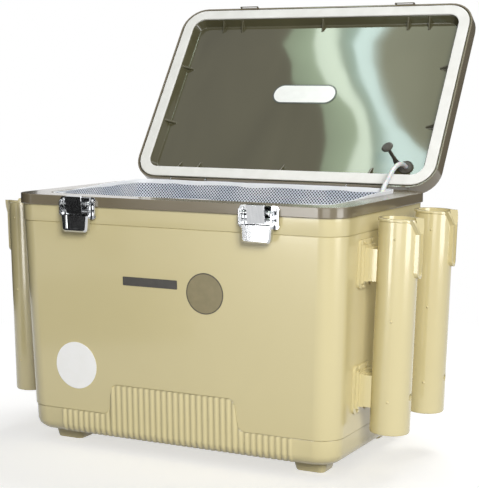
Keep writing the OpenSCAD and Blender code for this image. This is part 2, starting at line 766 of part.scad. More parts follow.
module hinge_lid_leaf(side) {
    back = lid_rear + fit;
    color("#7C7262") lid_open() translate([side * hinge_x, 0, 0]) difference() {
        union() {
            translate([-hinge_w / 2, back, hinge_z + knuckle_r + 0.7]) cube([hinge_w, leaf_t, leaf_h - 2]);
            translate([-mid_w / 2, back, hinge_z]) cube([mid_w, leaf_t, knuckle_r + 2]);
            along_hinge(-mid_w / 2, mid_w / 2, knuckle_r);
        }
        along_hinge(-hinge_w, hinge_w, hinge_pin_r + pin_play);
        lid_leaf_screw_places() screw_hole(hinge_shank_r);
    }
}

module hinge_lid_leaf_left() hinge_lid_leaf(-1);
module hinge_lid_leaf_right() hinge_lid_leaf(1);

module hinge_lid_screws()
    color("#C9CACC") lid_open() for (side = [-1, 1]) translate([side * hinge_x, 0, 0])
        lid_leaf_screw_places() screw(3, 1.4, hinge_shank_r, 4);

// ---- lid ----

lid_steps = 8;
// Places of the panel's small ribs from the middle of its sides
gusset_side = 51.5;
gusset_step = 35;
gusset_out = pan_hx - gusset_side;
gusset_in = gusset_out - gusset_step;
gusset_end = 53;

module port_hole() translate([port_x, port_y, gasket_z]) cylinder(h = 2 * lid_t, r = port_r);

module hinge_notches()
    for (side = [-1, 1]) translate([side * hinge_x, 0, 0])
        along_hinge(-hinge_w / 2 - 2.2, hinge_w / 2 + 2.2, knuckle_r + 0.7);

function lid_ring(inset, z, r = -1) =
    ring(lid_hx - inset, lid_hy - inset, r < 0 ? lid_r - inset : r, z, lid_y, lid_steps);

function pan_ring(grow, z) = ring(pan_hx + grow, pan_hy + grow, pan_r + grow, z, gasket_y, lid_steps);

module lid_shell() {
    inner_r = 5;
    color("#857A68") lid_open() difference() {
        loft(concat([
            lid_ring(lid_wall + inner_r, lid_top - lid_wall),
            lid_ring(lid_wall, lid_top - lid_wall - inner_r),
            lid_ring(lid_wall, lid_rim_z),
            lid_ring(0, lid_rim_z)],
            [for (a = [0, 30, 60, 90])
                lid_ring(lid_edge_r * (1 - cos(a)), lid_top - lid_edge_r * (1 - sin(a)))]));
        port_hole();
        hinge_notches();
    }
}

module lid_panel() {
    flange_in = lid_wall + fit;
    gusset_t = 3;
    gusset_w = 12;
    color("#6E6A58") lid_open() difference() {
        union() {
            loft([
                pan_ring(-pan_slope, pan_z),
                pan_ring(0, flange_z),
                lid_ring(flange_in, flange_z),
                lid_ring(flange_in, flange_z + 2),
                pan_ring(2, flange_z + 2),
                pan_ring(2 - pan_slope, pan_z + 2)]);
            for (x = [-gusset_out, -gusset_in, 0, gusset_in, gusset_out]) for (s = [-1, 1])
                translate([x, gasket_y + s * pan_hy, 0]) rotate([0, 0, s > 0 ? 180 : 0]) gusset(gusset_t, gusset_w);
            for (y = [-gusset_end, gusset_end]) for (s = [-1, 1])
                translate([s * pan_hx, gasket_y + y, 0]) rotate([0, 0, s * 90]) gusset(gusset_t, gusset_w);
        }
        port_hole();
        hinge_notches();
    }
}

// Small three-cornered rib between the panel's wall, at y = 0, and its flat
module gusset(t, w)
    translate([t / 2, 0, 0]) rotate([90, 0, -90]) linear_extrude(t)
        polygon([[0.8, flange_z + 1], [0.8 - pan_slope, pan_z + 1], [-w - pan_slope, pan_z + 1],
                 [-w - pan_slope, pan_z - 1.5]]);

module lid_foam() {
    color("#EFE9C8") lid_open() difference() {
        loft([
            pan_ring(2 + fit - pan_slope, pan_z + 2 + fit),
            pan_ring(2 + fit, flange_z + 2 + fit),
            lid_ring(lid_wall + fit, flange_z + 2 + fit),
            lid_ring(lid_wall + fit, lid_top - lid_wall - 5 - fit),
            lid_ring(lid_wall + 5 + fit, lid_top - lid_wall - fit)]);
        port_hole();
        hinge_notches();
    }
}

module lid_gasket() {
    color("#F3F2EA") lid_open() translate([0, gasket_y, gasket_z]) difference() {
        rounded_plate(2 * gasket_hx, 2 * gasket_hy, gasket_r, gasket_t);
        translate([0, 0, -through]) rounded_plate(2 * pan_hx, 2 * pan_hy, pan_r, gasket_t + 2 * through);
    }
}

grommet_r = 11;
grommet_t = 3;

module port_grommet() {
    neck_r = port_r - fit;
    under = pan_z - grommet_t;
    over = lid_top + 2;
    color("#4A483F") lid_open() translate([port_x, port_y, 0]) rotate_extrude() polygon([
        [hose_r, under], [grommet_r - 3, under], [grommet_r - 2, under + 1], [grommet_r - 1, under],
        [grommet_r, under + 1], [grommet_r, pan_z - fit], [neck_r, pan_z - fit],
        [neck_r, lid_top + fit], [grommet_r, lid_top + fit], [grommet_r, over], [hose_r, over]]);
}

stem_x = port_x - 14;
stem_y = port_y - 5;
stem_len = 36;
stem_lean = 12;
strap_t = 3;

// Plug on its strap, standing out of the panel beside the port
module port_plug()
    color("#4A483F") lid_open() translate([stem_x, stem_y, pan_z - fit]) rotate([180 - stem_lean, stem_lean, 0]) {
        rotate([90, 0, 0]) linear_extrude(strap_t, center = true)
            polygon([[-5, 2], [6, 2], [3.4, 10], [2.6, 20], [2.4, stem_len], [-2.4, stem_len], [-2.6, 14]]);
        translate([0, 0, stem_len - 1]) rotate_extrude() polygon([
            [0, 0], [7, 0], [9, 1.5], [9, 3.5], [7, 5], [0, 5]]);
    }

// ---- airline: one tube from the port into the bag, one from the port to the pump ----

hose_sides = 8;
// Height of the bag's floor at the stone, inside the net
bag_floor = liner_z + net_gap + net_t;
stone_r = 9;

inner_route = [
    [199, 206, 379], [199, 199, 383.8], [198.6, 190.5, 387.3], [198.2, 181, 388.8],
    [197.8, 171, 388.2], [197.4, 161, 385.4], [197, 151, 380.8], [196.7, 141.3, 374.6],
    [196.3, 131.8, 367.6], [195.7, 122.6, 360.4], [194.7, 115.8, 351.5], [193, 110.5, 339.5],
    [190, 105.5, 322], [185.5, 99.5, 300], [176.5, 91, 262], [163, 80, 212], [146.5, 67.5, 163],
    [128, 54, 121], [109, 40, 89.5], [90, 27, 69.5], [70, 16, 64]
];

outer_route = [
    [199, 207, 378.4], [199, 213, 374.3], [199, 219.1, 368.8], [199, 223.3, 362.2],
    [199, 225.7, 354.7], [198.7, 226, 346.9], [198, 224.3, 339.2], [196.5, 217.8, 325.5],
    [194.3, 212.1, 313.8], [192.2, 206.5, 302.1], [190.8, 201.2, 291.4], [190.2, 198, 284.6],
    [190, 195.8, 278.2], [190, 195, 271.7]
];

function unit(v) = v / norm(v);
function heading(p, i) = unit(p[min(i + 1, len(p) - 1)] - p[max(i - 1, 0)]);

// Tube through the route's points, each ring square to the route there
module tube(route, r, sides) {
    n = sides;
    rows = len(route);
    points = [for (i = [0:rows - 1])
        let (t = heading(route, i), a = unit(cross(t, [1, 0, 0.2])), b = cross(t, a))
        for (j = [0:n - 1]) route[i] + r * (cos(360 * j / n) * a + sin(360 * j / n) * b)];
    sides_f = [for (i = [0:rows - 2]) for (j = [0:n - 1])
        let (p = i * n + j, q = i * n + (j + 1) % n) each [[p, p + n, q + n], [p, q + n, q]]];
    polyhedron(points, concat([[for (j = [0:n - 1]) j]], sides_f,
                              [[for (j = [n - 1:-1:0]) (rows - 1) * n + j]]), convexity = 6);
}

module airline_inner() color("#F0F2F2") at_origin() tube(inner_route, hose_r, hose_sides);
module airline_outer() color("#F0F2F2") at_origin() tube(outer_route, hose_r, hose_sides);

stone_at = inner_route[len(inner_route) - 1];

module air_stone()
    color("#9FA6AD") at_origin() translate([stone_at.x, stone_at.y, bag_floor + stone_r + 0.5]) rotate([0, -90, 25])
        rotate_extrude() polygon([
            [0, 0.6], [2.4, 0.6], [2.4, 5], [stone_r, 8], [stone_r, 40], [stone_r - 2, 42], [0, 42]]);

// ---- air pump on the tub's back, X across and +Y out ----

pump_back_t = 2.5;
pump_y = tub_d / 2 + 3;
pump_wall = 2;
cell_l = 58;
// Height of the motor above the case's foot, clear of the cells
motor_up = pump_wall + cell_l + 6;
switch_w = 14;
switch_slot = switch_travel + 12;
barb_at = [pump_x, pump_y + pump_d - 7];
barb_r = 4.5;

module pump_bracket() {
    plate_w = pump_w - 20;
    plate_z = pump_h - 30;
    rise = plate_z * tan(front_lean);
    foot_at = wall_y(pump_z + 15) - upper_step + fit;
    color("#3E4144") at_origin() translate([pump_x + plate_w / 2, 0, pump_z + 15]) rotate([90, 0, -90])
        linear_extrude(plate_w)
            polygon([[-foot_at, 0], [-pump_y + fit, 0], [-pump_y + fit, plate_z], [-foot_at - rise, plate_z]]);
}

module pump_case() {
    color("#F1F1EE") at_origin() difference() {
        union() {
            translate([pump_x, pump_y + pump_d / 2, pump_z]) rounded_plate(pump_w, pump_d, 8, pump_h);
            translate([barb_at.x, barb_at.y, pump_z + pump_h - 1]) cylinder(h = 2.9, r = barb_r);
        }
        translate([pump_x, pump_y + pump_d / 2, pump_z + pump_wall])
            rounded_plate(pump_w - 2 * pump_wall, pump_d - 2 * pump_wall, 6, pump_h - 2 * pump_wall);
        translate([pump_x, pump_y + pump_d, pump_z + pump_h - 26]) rotate([90, 0, 0])
            translate([0, 0, -through]) linear_extrude(pump_wall + 2 * through)
                square([switch_w - 2, switch_slot], center = true);
        translate([barb_at.x, barb_at.y, pump_z + pump_h - 10]) cylinder(h = 20, r = 1.5);
    }
}

// Sliding switch: a cap outside the case on a stem through its slot
module pump_switch() {
    stem_h = switch_slot - switch_travel - 2;
    low = pump_z + pump_h - 26 - switch_slot / 2 + 1;
    outer = pump_y + pump_d;
    color("#2F6FB0") at_origin() {
        translate([pump_x - switch_w / 2 + 1.5, outer - pump_wall - 1.5, low])
            cube([switch_w - 3, pump_wall + 1.5 + 1, stem_h]);
        translate([pump_x - switch_w / 2, outer + 0.4, low - 1]) cube([switch_w, 4, stem_h + 2]);
    }
}

module pump_cells() {
    cell_r = 13;
    color("#55585C") at_origin() for (s = [-1, 1])
        translate([pump_x + s * (cell_r + 1), pump_y + pump_d / 2, pump_z + pump_wall + 1]) {
            cylinder(h = cell_l, r = cell_r);
            translate([0, 0, cell_l]) cylinder(h = 1.5, r = 4);
        }
}

module pump_motor()
    color("#8A8D90") at_origin() translate([pump_x, pump_y + pump_d / 2 - 4, pump_z + motor_up])
        rounded_plate(52, 20, 4, 34);

tub_shell();
tub_foam();
tub_liner();
rim_trim();
foot_front_left();
foot_front_right();
foot_rear_left();
foot_rear_right();
net_bag();
net_hem();
front_labels();
rod_holder_front_left();
rod_holder_front_right();
rod_holder_rear_left();
rod_holder_rear_right();
bracket_front_left_upper();
bracket_front_left_lower();
bracket_front_right_upper();
bracket_front_right_lower();
bracket_rear_left_upper();
bracket_rear_left_lower();
bracket_rear_right_upper();
bracket_rear_right_lower();
bracket_screws();
latch_base_left();
latch_base_right();
latch_pivot_pins();
latch_screws();
latch_lever_left();
latch_lever_right();
claw_pin_left();
claw_pin_right();
latch_claw_left();
latch_claw_right();
hinge_tub_leaf_left();
hinge_tub_leaf_right();
hinge_pins();
hinge_tub_screws();
hinge_lid_leaf_left();
hinge_lid_leaf_right();
hinge_lid_screws();
lid_shell();
lid_foam();
lid_panel();
lid_gasket();
lid_label();
strike_left();
strike_right();
strike_screws();
port_grommet();
port_plug();
airline_inner();
airline_outer();
air_stone();
pump_case();
pump_bracket();
pump_switch();
pump_motor();
pump_cells();
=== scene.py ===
import json
import math

import bmesh
import bpy
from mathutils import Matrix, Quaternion, Vector, geometry, noise
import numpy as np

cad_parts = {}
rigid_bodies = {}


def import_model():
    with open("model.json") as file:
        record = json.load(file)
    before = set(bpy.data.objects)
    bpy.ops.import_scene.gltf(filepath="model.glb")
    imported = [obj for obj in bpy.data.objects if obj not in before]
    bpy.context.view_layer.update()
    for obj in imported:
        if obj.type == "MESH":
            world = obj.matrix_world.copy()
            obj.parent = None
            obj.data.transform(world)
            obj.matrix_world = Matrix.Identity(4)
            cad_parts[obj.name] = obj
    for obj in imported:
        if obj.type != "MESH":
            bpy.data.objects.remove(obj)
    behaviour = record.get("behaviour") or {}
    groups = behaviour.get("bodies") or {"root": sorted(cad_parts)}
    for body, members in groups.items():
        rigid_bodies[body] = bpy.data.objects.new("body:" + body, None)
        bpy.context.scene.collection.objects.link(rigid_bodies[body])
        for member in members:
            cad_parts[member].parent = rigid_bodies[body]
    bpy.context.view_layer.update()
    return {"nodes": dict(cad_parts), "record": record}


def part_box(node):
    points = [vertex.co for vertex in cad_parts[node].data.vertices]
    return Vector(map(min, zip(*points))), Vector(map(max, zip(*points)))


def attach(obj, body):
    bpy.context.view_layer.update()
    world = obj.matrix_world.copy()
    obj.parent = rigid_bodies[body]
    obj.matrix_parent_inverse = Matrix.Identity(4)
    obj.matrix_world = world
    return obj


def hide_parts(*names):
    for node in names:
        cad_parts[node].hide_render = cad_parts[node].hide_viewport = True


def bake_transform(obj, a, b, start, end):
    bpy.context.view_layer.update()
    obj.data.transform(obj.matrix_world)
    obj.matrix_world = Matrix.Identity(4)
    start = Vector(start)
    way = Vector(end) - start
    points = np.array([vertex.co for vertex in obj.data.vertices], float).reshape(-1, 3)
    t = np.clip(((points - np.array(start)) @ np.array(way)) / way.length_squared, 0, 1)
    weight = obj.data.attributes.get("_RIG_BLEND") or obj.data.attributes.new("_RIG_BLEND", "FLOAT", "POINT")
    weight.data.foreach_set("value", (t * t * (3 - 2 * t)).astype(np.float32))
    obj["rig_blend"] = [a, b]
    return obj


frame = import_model()
scene = bpy.context.scene
scene.view_settings.view_transform = "Standard"
bodyOf = {node: body for body, nodes in frame["record"]["behaviour"]["bodies"].items() for node in nodes}

boxMiddle = 97.56  # mm, from the tub's middle back to the row frame's origin


def at(x, y, z):
    return Vector((x, y - boxMiddle, z)) / 1000  # tub millimetres to row-frame metres


cameraValues = {
    "place": at(892.5, -1696.8, 500.3),
    "target": at(25.6, 0, 271),
    "lens": 100.02,
    "sensor": 36,
    "shiftUp": 0.012,
    "roll": 0.23,
    "farthest": 50,
}


def makeCamera(values):
    data = bpy.data.cameras.new("photoCamera")
    data.lens = values["lens"]
    data.sensor_width = values["sensor"]
    data.shift_y = values["shiftUp"]
    data.clip_end = values["farthest"]
    camera = bpy.data.objects.new("photoCamera", data)
    scene.collection.objects.link(camera)
    ahead = values["target"] - values["place"]
    camera.location = values["place"]
    camera.rotation_mode = "QUATERNION"
    turn = Quaternion((0, 0, 1), math.radians(values["roll"]))
    camera.rotation_quaternion = ahead.to_track_quat("-Z", "Y") @ turn
    scene.camera = camera


makeCamera(cameraValues)
print("camera set")


def linear(hexColour):
    # The sRGB curve, backwards
    parts = [int(hexColour[i:i + 2], 16) / 255 for i in (1, 3, 5)]
    return tuple(c / 12.92 if c <= 0.04045 else ((c + 0.055) / 1.055) ** 2.4 for c in parts) + (1.0,)


def addNode(tree, kind, settings=None, inputs=None):
    node = tree.nodes.new(kind)
    for name, value in (settings or {}).items():
        setattr(node, name, value)
    for name, value in (inputs or {}).items():
        socket = node.inputs[name]
        if isinstance(value, bpy.types.NodeSocket):
            tree.links.new(value, socket)
        else:
            socket.default_value = value
    return node


def newMaterial(name, shaderValues):
    material = bpy.data.materials.new(name)
    material.use_nodes = True
    tree = material.node_tree
    shader = tree.nodes["Principled BSDF"]
    for socket, value in shaderValues.items():
        shader.inputs[socket].default_value = value
    where = addNode(tree, "ShaderNodeTexCoord")
    return material, tree, shader, where


def addRamp(tree, factor, stops):
    # A stop is how far along it sits, its colour and, where that isn't 1, its brightness
    ramp = addNode(tree, "ShaderNodeValToRGB", {}, {"Fac": factor})
    elements = ramp.color_ramp.elements
    while len(elements) < len(stops):
        elements.new(0.5)
    for element, (place, colour, *level) in zip(elements, stops):
        element.position = place
        brightness = level[0] if level else 1.0
        element.color = tuple(c * brightness for c in linear(colour)[:3]) + (1.0,)
    return ramp


def paint(tree, shader, factor, stops):
    ramp = addRamp(tree, factor, stops)
    tree.links.new(ramp.outputs["Color"], shader.inputs["Base Color"])


def addNoise(tree, vector, acrossMm, detail, distortion=0.0):
    return addNode(tree, "ShaderNodeTexNoise", {}, {
        "Vector": vector, "Scale": 1000 / acrossMm, "Detail": detail, "Distortion": distortion})


def addCells(tree, vector, acrossMm):
    return addNode(tree, "ShaderNodeTexVoronoi", {}, {"Vector": vector, "Scale": 1000 / acrossMm})


def addBump(tree, shader, height, strength, distance):
    bump = addNode(tree, "ShaderNodeBump", {}, {"Height": height, "Strength": strength, "Distance": distance})
    tree.links.new(bump.outputs["Normal"], shader.inputs["Normal"])


shineSpread = (0.85, 1.2)  # a surface's roughness runs between these times its stated value


def varyShine(tree, shader, factor, roughness):
    shine = addNode(tree, "ShaderNodeMapRange", {}, {
        "Value": factor, "To Min": roughness * shineSpread[0], "To Max": roughness * shineSpread[1]})
    tree.links.new(shine.outputs["Result"], shader.inputs["Roughness"])


def selectOnly(piece):
    for other in bpy.context.selected_objects:
        other.select_set(False)
    piece.select_set(True)
    bpy.context.view_layer.objects.active = piece


def applyModifiers(piece):
    selectOnly(piece)
    for modifier in list(piece.modifiers):
        bpy.ops.object.modifier_apply(modifier=modifier.name)


def smoothByAngle(piece, angle):
    selectOnly(piece)
    bpy.ops.object.shade_smooth_by_angle(angle=math.radians(angle))


def finish(piece, material, node):
    piece.data.materials.clear()
    piece.data.materials.append(material)
    if piece.parent is None and "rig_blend" not in piece:
        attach(piece, bodyOf[node])
    return piece


hoseValues = {"radius": 3.5, "sides": 5, "steps": 5, "smoothAngle": 60}

# The hoses' routes in tub millimetres, from the port in the lid
innerRoute = [
    (199, 206, 379), (199, 199, 383.8), (198.6, 190.5, 387.3), (198.2, 181, 388.8),
    (197.8, 171, 388.2), (197.4, 161, 385.4), (197, 151, 380.8), (196.7, 141.3, 374.6),
    (196.3, 131.8, 367.6), (195.7, 122.6, 360.4), (194.7, 115.8, 351.5), (193, 110.5, 339.5),
    (190, 105.5, 322), (185.5, 99.5, 300), (176.5, 91, 262), (163, 80, 212), (146.5, 67.5, 163),
    (128, 54, 121), (109, 40, 89.5), (90, 27, 69.5), (70, 16, 64),
]

outerRoute = [
    (199, 207, 378.4), (199, 213, 374.3), (199, 219.1, 368.8), (199, 223.3, 362.2),
    (199, 225.7, 354.7), (198.7, 226, 346.9), (198, 224.3, 339.2), (196.5, 217.8, 325.5),
    (194.3, 212.1, 313.8), (192.2, 206.5, 302.1), (190.8, 201.2, 291.4), (190.2, 198, 284.6),
    (190, 195.8, 278.2), (190, 195, 271.7),
]


def makeHose(name, route, values):
    points = [at(*p) for p in route]
    data = bpy.data.curves.new(name, "CURVE")
    data.dimensions = "3D"
    data.bevel_depth = values["radius"] / 1000
    data.bevel_resolution = values["sides"]
    data.resolution_u = values["steps"]
    data.use_fill_caps = True
    spline = data.splines.new("BEZIER")
    last = len(points) - 1
    spline.bezier_points.add(last)
    handles = []
    for i, place in enumerate(points):
        lean = (points[min(i + 1, last)] - points[max(i - 1, 0)]) / 6  # a third of the mean step to each side
        knot = spline.bezier_points[i]
        knot.handle_left_type = knot.handle_right_type = "FREE"
        knot.co, knot.handle_left, knot.handle_right = place, place - lean, place + lean
        handles.append((place - lean, place, place + lean))
    piece = bpy.data.objects.new(name, data)
    scene.collection.objects.link(piece)
    selectOnly(piece)
    bpy.ops.object.convert(target="MESH")
    path = [points[0]]
    for (_, a, right), (left, b, _) in zip(handles[:-1], handles[1:]):
        path += geometry.interpolate_bezier(a, right, left, b, values["steps"] + 1)[1:]
    length = sum((b - a).length for a, b in zip(path[:-1], path[1:]))
    piece = bpy.context.view_layer.objects.active
    smoothByAngle(piece, values["smoothAngle"])
    return piece, [tuple(p) for p in path], length


def hoseMaterial():
    # Soft clear silicone tube gone milky: pale, a little see-through, with a wet shine
    material, tree, shader, where = newMaterial("milkySiliconeTube", {
        "Roughness": 0.28, "Subsurface Weight": 0.35, "Subsurface Scale": 0.004,
        "Transmission Weight": 0.12, "IOR": 1.41, "Coat Weight": 0.3, "Coat Roughness": 0.15})
    cloud = addNoise(tree, where.outputs["Object"], 14, 2.0)
    paint(tree, shader, cloud.outputs["Fac"], [(0.35, "#DDE2DF"), (0.65, "#EEF1EE")])
    return material


hoseLook = hoseMaterial()
airlineInner, innerPath, innerLength = makeHose("airlineInner", innerRoute, hoseValues)
airlineOuter, outerPath, outerLength = makeHose("airlineOuter", outerRoute, hoseValues)
for hose, node in ((airlineInner, "airline_inner"), (airlineOuter, "airline_outer")):
    hose.data.materials.clear()
    hose.data.materials.append(hoseLook)
    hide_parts(node)
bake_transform(airlineInner, "lid", "tub", start=at(199, 196, 384), end=at(176.5, 91, 262))
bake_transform(airlineOuter, "lid", "tub", start=at(199, 213, 374), end=at(190.2, 198, 285))
print("hoses", round(innerLength, 3), round(outerLength, 3))


def mouldedPlastic(name, look):
    # Injection-moulded plastic: even colour with a faint cloud, a soft moulded grain, a clean gloss
    material, tree, shader, where = newMaterial(name, {
        "IOR": 1.52, "Coat Weight": look.get("coat", 0.0), "Coat Roughness": 0.08})
    cloud = addNoise(tree, where.outputs["Object"], look["cloudMm"], 3.0)
    paint(tree, shader, cloud.outputs["Fac"], [(0.3, look["dark"]), (0.7, look["light"])])
    varyShine(tree, shader, cloud.outputs["Fac"], look["roughness"])
    # The mould's grain is drawn coarser than a real etch so that it shows, and a quarter as deep as it is wide
    grain = addNoise(tree, where.outputs["Object"], look["grainMm"], 2.0)
    addBump(tree, shader, grain.outputs["Fac"], look["bump"], look["grainMm"] / 4000)
    return material


tanShell = mouldedPlastic("tanMouldedAbs", {
    "dark": "#D0C495", "light": "#D4C899", "cloudMm": 260, "grainMm": 2.2, "bump": 0.04,
    "roughness": 0.21, "coat": 0.35})
tanHolder = mouldedPlastic("tanTubeAbs", {
    "dark": "#D0C393", "light": "#D5C999", "cloudMm": 180, "grainMm": 3.0, "bump": 0.03,
    "roughness": 0.17, "coat": 0.6})
taupeTrim = mouldedPlastic("taupeMouldedAbs", {
    "dark": "#6F654F", "light": "#776D58", "cloudMm": 120, "grainMm": 1.8, "bump": 0.02,
    "roughness": 0.2, "coat": 0.4})
whiteLiner = mouldedPlastic("whiteHighImpactStyrene", {
    "dark": "#E6E7E4", "light": "#EFF0EC", "cloudMm": 120, "grainMm": 2.0, "bump": 0.05, "roughness": 0.34})
pumpWhite = mouldedPlastic("whitePumpAbs", {
    "dark": "#E3E3DE", "light": "#ECECE7", "cloudMm": 60, "grainMm": 1.2, "bump": 0.12, "roughness": 0.36})
pumpDark = mouldedPlastic("charcoalPolypropylene", {
    "dark": "#34373A", "light": "#404448", "cloudMm": 40, "grainMm": 1.0, "bump": 0.2, "roughness": 0.5})
pumpBlue = mouldedPlastic("bluePolypropylene", {
    "dark": "#2A66A2", "light": "#3373B2", "cloudMm": 20, "grainMm": 0.8, "bump": 0.15, "roughness": 0.4})
# Painted steel and a cell's shrunk jacket shade as a moulded plastic does
hingeLook = mouldedPlastic("taupePaintedSteel", {
    "dark": "#5F5748", "light": "#6A6151", "cloudMm": 30, "grainMm": 0.9, "bump": 0.12, "roughness": 0.42})
motorGrey = mouldedPlastic("greyPaintedSteel", {
    "dark": "#76797C", "light": "#85888B", "cloudMm": 30, "grainMm": 0.9, "bump": 0.12, "roughness": 0.42})
cellJacket = mouldedPlastic("shrunkCellJacket", {
    "dark": "#44474B", "light": "#52565A", "cloudMm": 25, "grainMm": 1.0, "bump": 0.08, "roughness": 0.34})


def panelMaterial():
    # Lid lining: thick glossy vacuum-formed sheet in olive grey, slightly wavy so that reflections smear
    material, tree, shader, where = newMaterial("wavyOliveSheet", {
        "Roughness": 0.05, "IOR": 1.52})
    # Cloud and waves run longer up the lid than across it
    stretched = addNode(tree, "ShaderNodeMapping", {}, {
        "Vector": where.outputs["Object"], "Scale": (1.0, 0.45, 0.45)})
    cloud = addNoise(tree, stretched.outputs["Vector"], 130, 2.0, distortion=0.6)
    paint(tree, shader, cloud.outputs["Fac"], [(0.32, "#504D37"), (0.7, "#5A5740")])
    wave = addNoise(tree, stretched.outputs["Vector"], 110, 1.0)
    addBump(tree, shader, wave.outputs["Fac"], 0.06, 0.01)
    return material


def gasketMaterial():
    # Extruded white foam rubber with a dull skin
    material, tree, shader, where = newMaterial("whiteFoamRubber", {"Roughness": 0.62, "IOR": 1.5})
    cloud = addNoise(tree, where.outputs["Object"], 25, 3.0)
    paint(tree, shader, cloud.outputs["Fac"], [(0.3, "#E9E9E3"), (0.7, "#F3F3EE")])
    cells = addCells(tree, where.outputs["Object"], 0.9)
    addBump(tree, shader, cells.outputs["Distance"], 0.12, 0.0004)
    return material


def steelMaterial(name, look):
    # Stamped stainless, buffed after pressing: bright, with fine polishing lines along its length
    material, tree, shader, where = newMaterial(name, {"Metallic": 1.0})
    lines = addNode(tree, "ShaderNodeMapping", {}, {"Vector": where.outputs["Object"], "Scale": (1.0, 1.0, 0.12)})
    brush = addNoise(tree, lines.outputs["Vector"], look["brushMm"], 3.0)
    paint(tree, shader, brush.outputs["Fac"], [(0.2, look["dark"]), (0.8, look["light"])])
    varyShine(tree, shader, brush.outputs["Fac"], look["roughness"])
    addBump(tree, shader, brush.outputs["Fac"], look["bump"], 0.0002)
    return material


def rubberMaterial():
    # Dark moulded nitrile rubber with a dusty bloom
    material, tree, shader, where = newMaterial("darkNitrileRubber", {"Roughness": 0.5, "IOR": 1.5})
    cloud = addNoise(tree, where.outputs["Object"], 9, 4.0)
    paint(tree, shader, cloud.outputs["Fac"], [(0.3, "#3C3A32"), (0.75, "#56534A")])
    addBump(tree, shader, cloud.outputs["Fac"], 0.25, 0.0006)
    return material


def foamMaterial():
    # Poured polyurethane foam: cream, full of 1.5 mm cells
    material, tree, shader, where = newMaterial("pouredPolyurethane", {"Roughness": 0.9})
    cells = addCells(tree, where.outputs["Object"], 1.5)
    paint(tree, shader, cells.outputs["Distance"], [(0.1, "#D8CFA4"), (0.6, "#EFE8C8")])
    addBump(tree, shader, cells.outputs["Distance"], 0.6, 0.0008)
    return material


def stoneMaterial():
    # Sintered mineral air stone: rough blue-grey grit, real grains about 0.8 mm, drawn at 1.2 mm so that they show
    material, tree, shader, where = newMaterial("sinteredMineral", {"Roughness": 0.95})
    grit = addCells(tree, where.outputs["Object"], 1.2)
    paint(tree, shader, grit.outputs["Distance"], [(0.1, "#7E878F"), (0.7, "#AEB5BA")])
    addBump(tree, shader, grit.outputs["Distance"], 0.9, 0.0008)
    return material


def labelEdge(tree, where, edge):
    # 0 inside the printed ring and 1 on it, for a disc or an oval that lies along x
    fromMiddle = addNode(tree, "ShaderNodeMapping", {"vector_type": "POINT"}, {
        "Vector": where.outputs["Object"], "Location": tuple(-c for c in edge["middle"])})
    split = addNode(tree, "ShaderNodeSeparateXYZ", {}, {"Vector": fromMiddle.outputs["Vector"]})
    across = addNode(tree, "ShaderNodeMath", {"operation": "ABSOLUTE"})
    tree.links.new(split.outputs["X"], across.inputs[0])
    along = addNode(tree, "ShaderNodeMath", {"operation": "SUBTRACT", "use_clamp": True})
    tree.links.new(across.outputs[0], along.inputs[0])
    along.inputs[1].default_value = (edge["halfW"] - edge["radius"]) / 1000
    flat = addNode(tree, "ShaderNodeCombineXYZ", {}, {
        "X": along.outputs[0], "Y": split.outputs["Y"], "Z": split.outputs["Z"]})
    reach = addNode(tree, "ShaderNodeVectorMath", {"operation": "LENGTH"}, {"Vector": flat.outputs["Vector"]})
    starts = edge["radius"] - edge["ring"]
    ring = addNode(tree, "ShaderNodeMapRange", {}, {
        "Value": reach.outputs["Value"], "From Min": (starts - edge["blur"]) / 1000, "From Max": starts / 1000})
    return ring.outputs["Result"]


def labelMaterial(name, look, edge=None):
    # Printed vinyl film under a clear layer. An edge has its middle in metres and its other sizes in millimetres
    material, tree, shader, where = newMaterial(name, {
        "Roughness": look["roughness"], "IOR": 1.5, "Coat Weight": 0.4, "Coat Roughness": 0.2})
    cloud = addNoise(tree, where.outputs["Object"], 12, 4.0)
    tone = addRamp(tree, cloud.outputs["Fac"], [(0.3, look["dark"]), (0.7, look["light"])])
    colour = tone.outputs["Color"]
    if edge:
        mix = addNode(tree, "ShaderNodeMix", {"data_type": "RGBA"})
        tree.links.new(labelEdge(tree, where, edge), mix.inputs[0])
        tree.links.new(colour, mix.inputs[6])
        mix.inputs[7].default_value = linear(edge["colour"])
        colour = mix.outputs[2]
    tree.links.new(colour, shader.inputs["Base Color"])
    film = addNoise(tree, where.outputs["Object"], 2.5, 2.0)
    addBump(tree, shader, film.outputs["Fac"], 0.05, 0.0005)
    return material


def middleOf(low, high):
    return tuple((a + b) / 2 for a, b in zip(low, high))


panelLook = panelMaterial()
gasketLook = gasketMaterial()
stainless = steelMaterial("buffedStainless", {
    "dark": "#C6C8CA", "light": "#D3D4D5", "roughness": 0.09, "brushMm": 3.0, "bump": 0.004})
pinSteel = steelMaterial("turnedStainless", {
    "dark": "#A9ABAE", "light": "#CBCDCF", "roughness": 0.26, "brushMm": 0.4, "bump": 0.10})
rubberLook = rubberMaterial()
foamLook = foamMaterial()
stoneLook = stoneMaterial()
darkPrint = labelMaterial("darkVinylFilm", {"dark": "#34322D", "light": "#3E3B35", "roughness": 0.4})
khakiPrint = labelMaterial("khakiVinylFilm", {"dark": "#7D7350", "light": "#877C59", "roughness": 0.45}, {
    "middle": at(54, -154.4, 231), "halfW": 27.5, "radius": 27.5, "ring": 1.3, "blur": 0.3, "colour": "#3F3929"})
whitePrint = labelMaterial("whiteVinylFilm", {"dark": "#FAFAF8", "light": "#FDFDFC", "roughness": 0.4})
lidPrint = labelMaterial("whiteLidFilm", {"dark": "#EDEDEA", "light": "#F2F2EF", "roughness": 0.35}, {
    "middle": middleOf(*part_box("lid_label")), "halfW": 55, "radius": 18, "ring": 2.2, "blur": 0.3,
    "colour": "#1F1E1A"})
print("materials made")


dressValues = {"weld": 0.00001, "sharpAngle": 28, "flatWeight": 90}


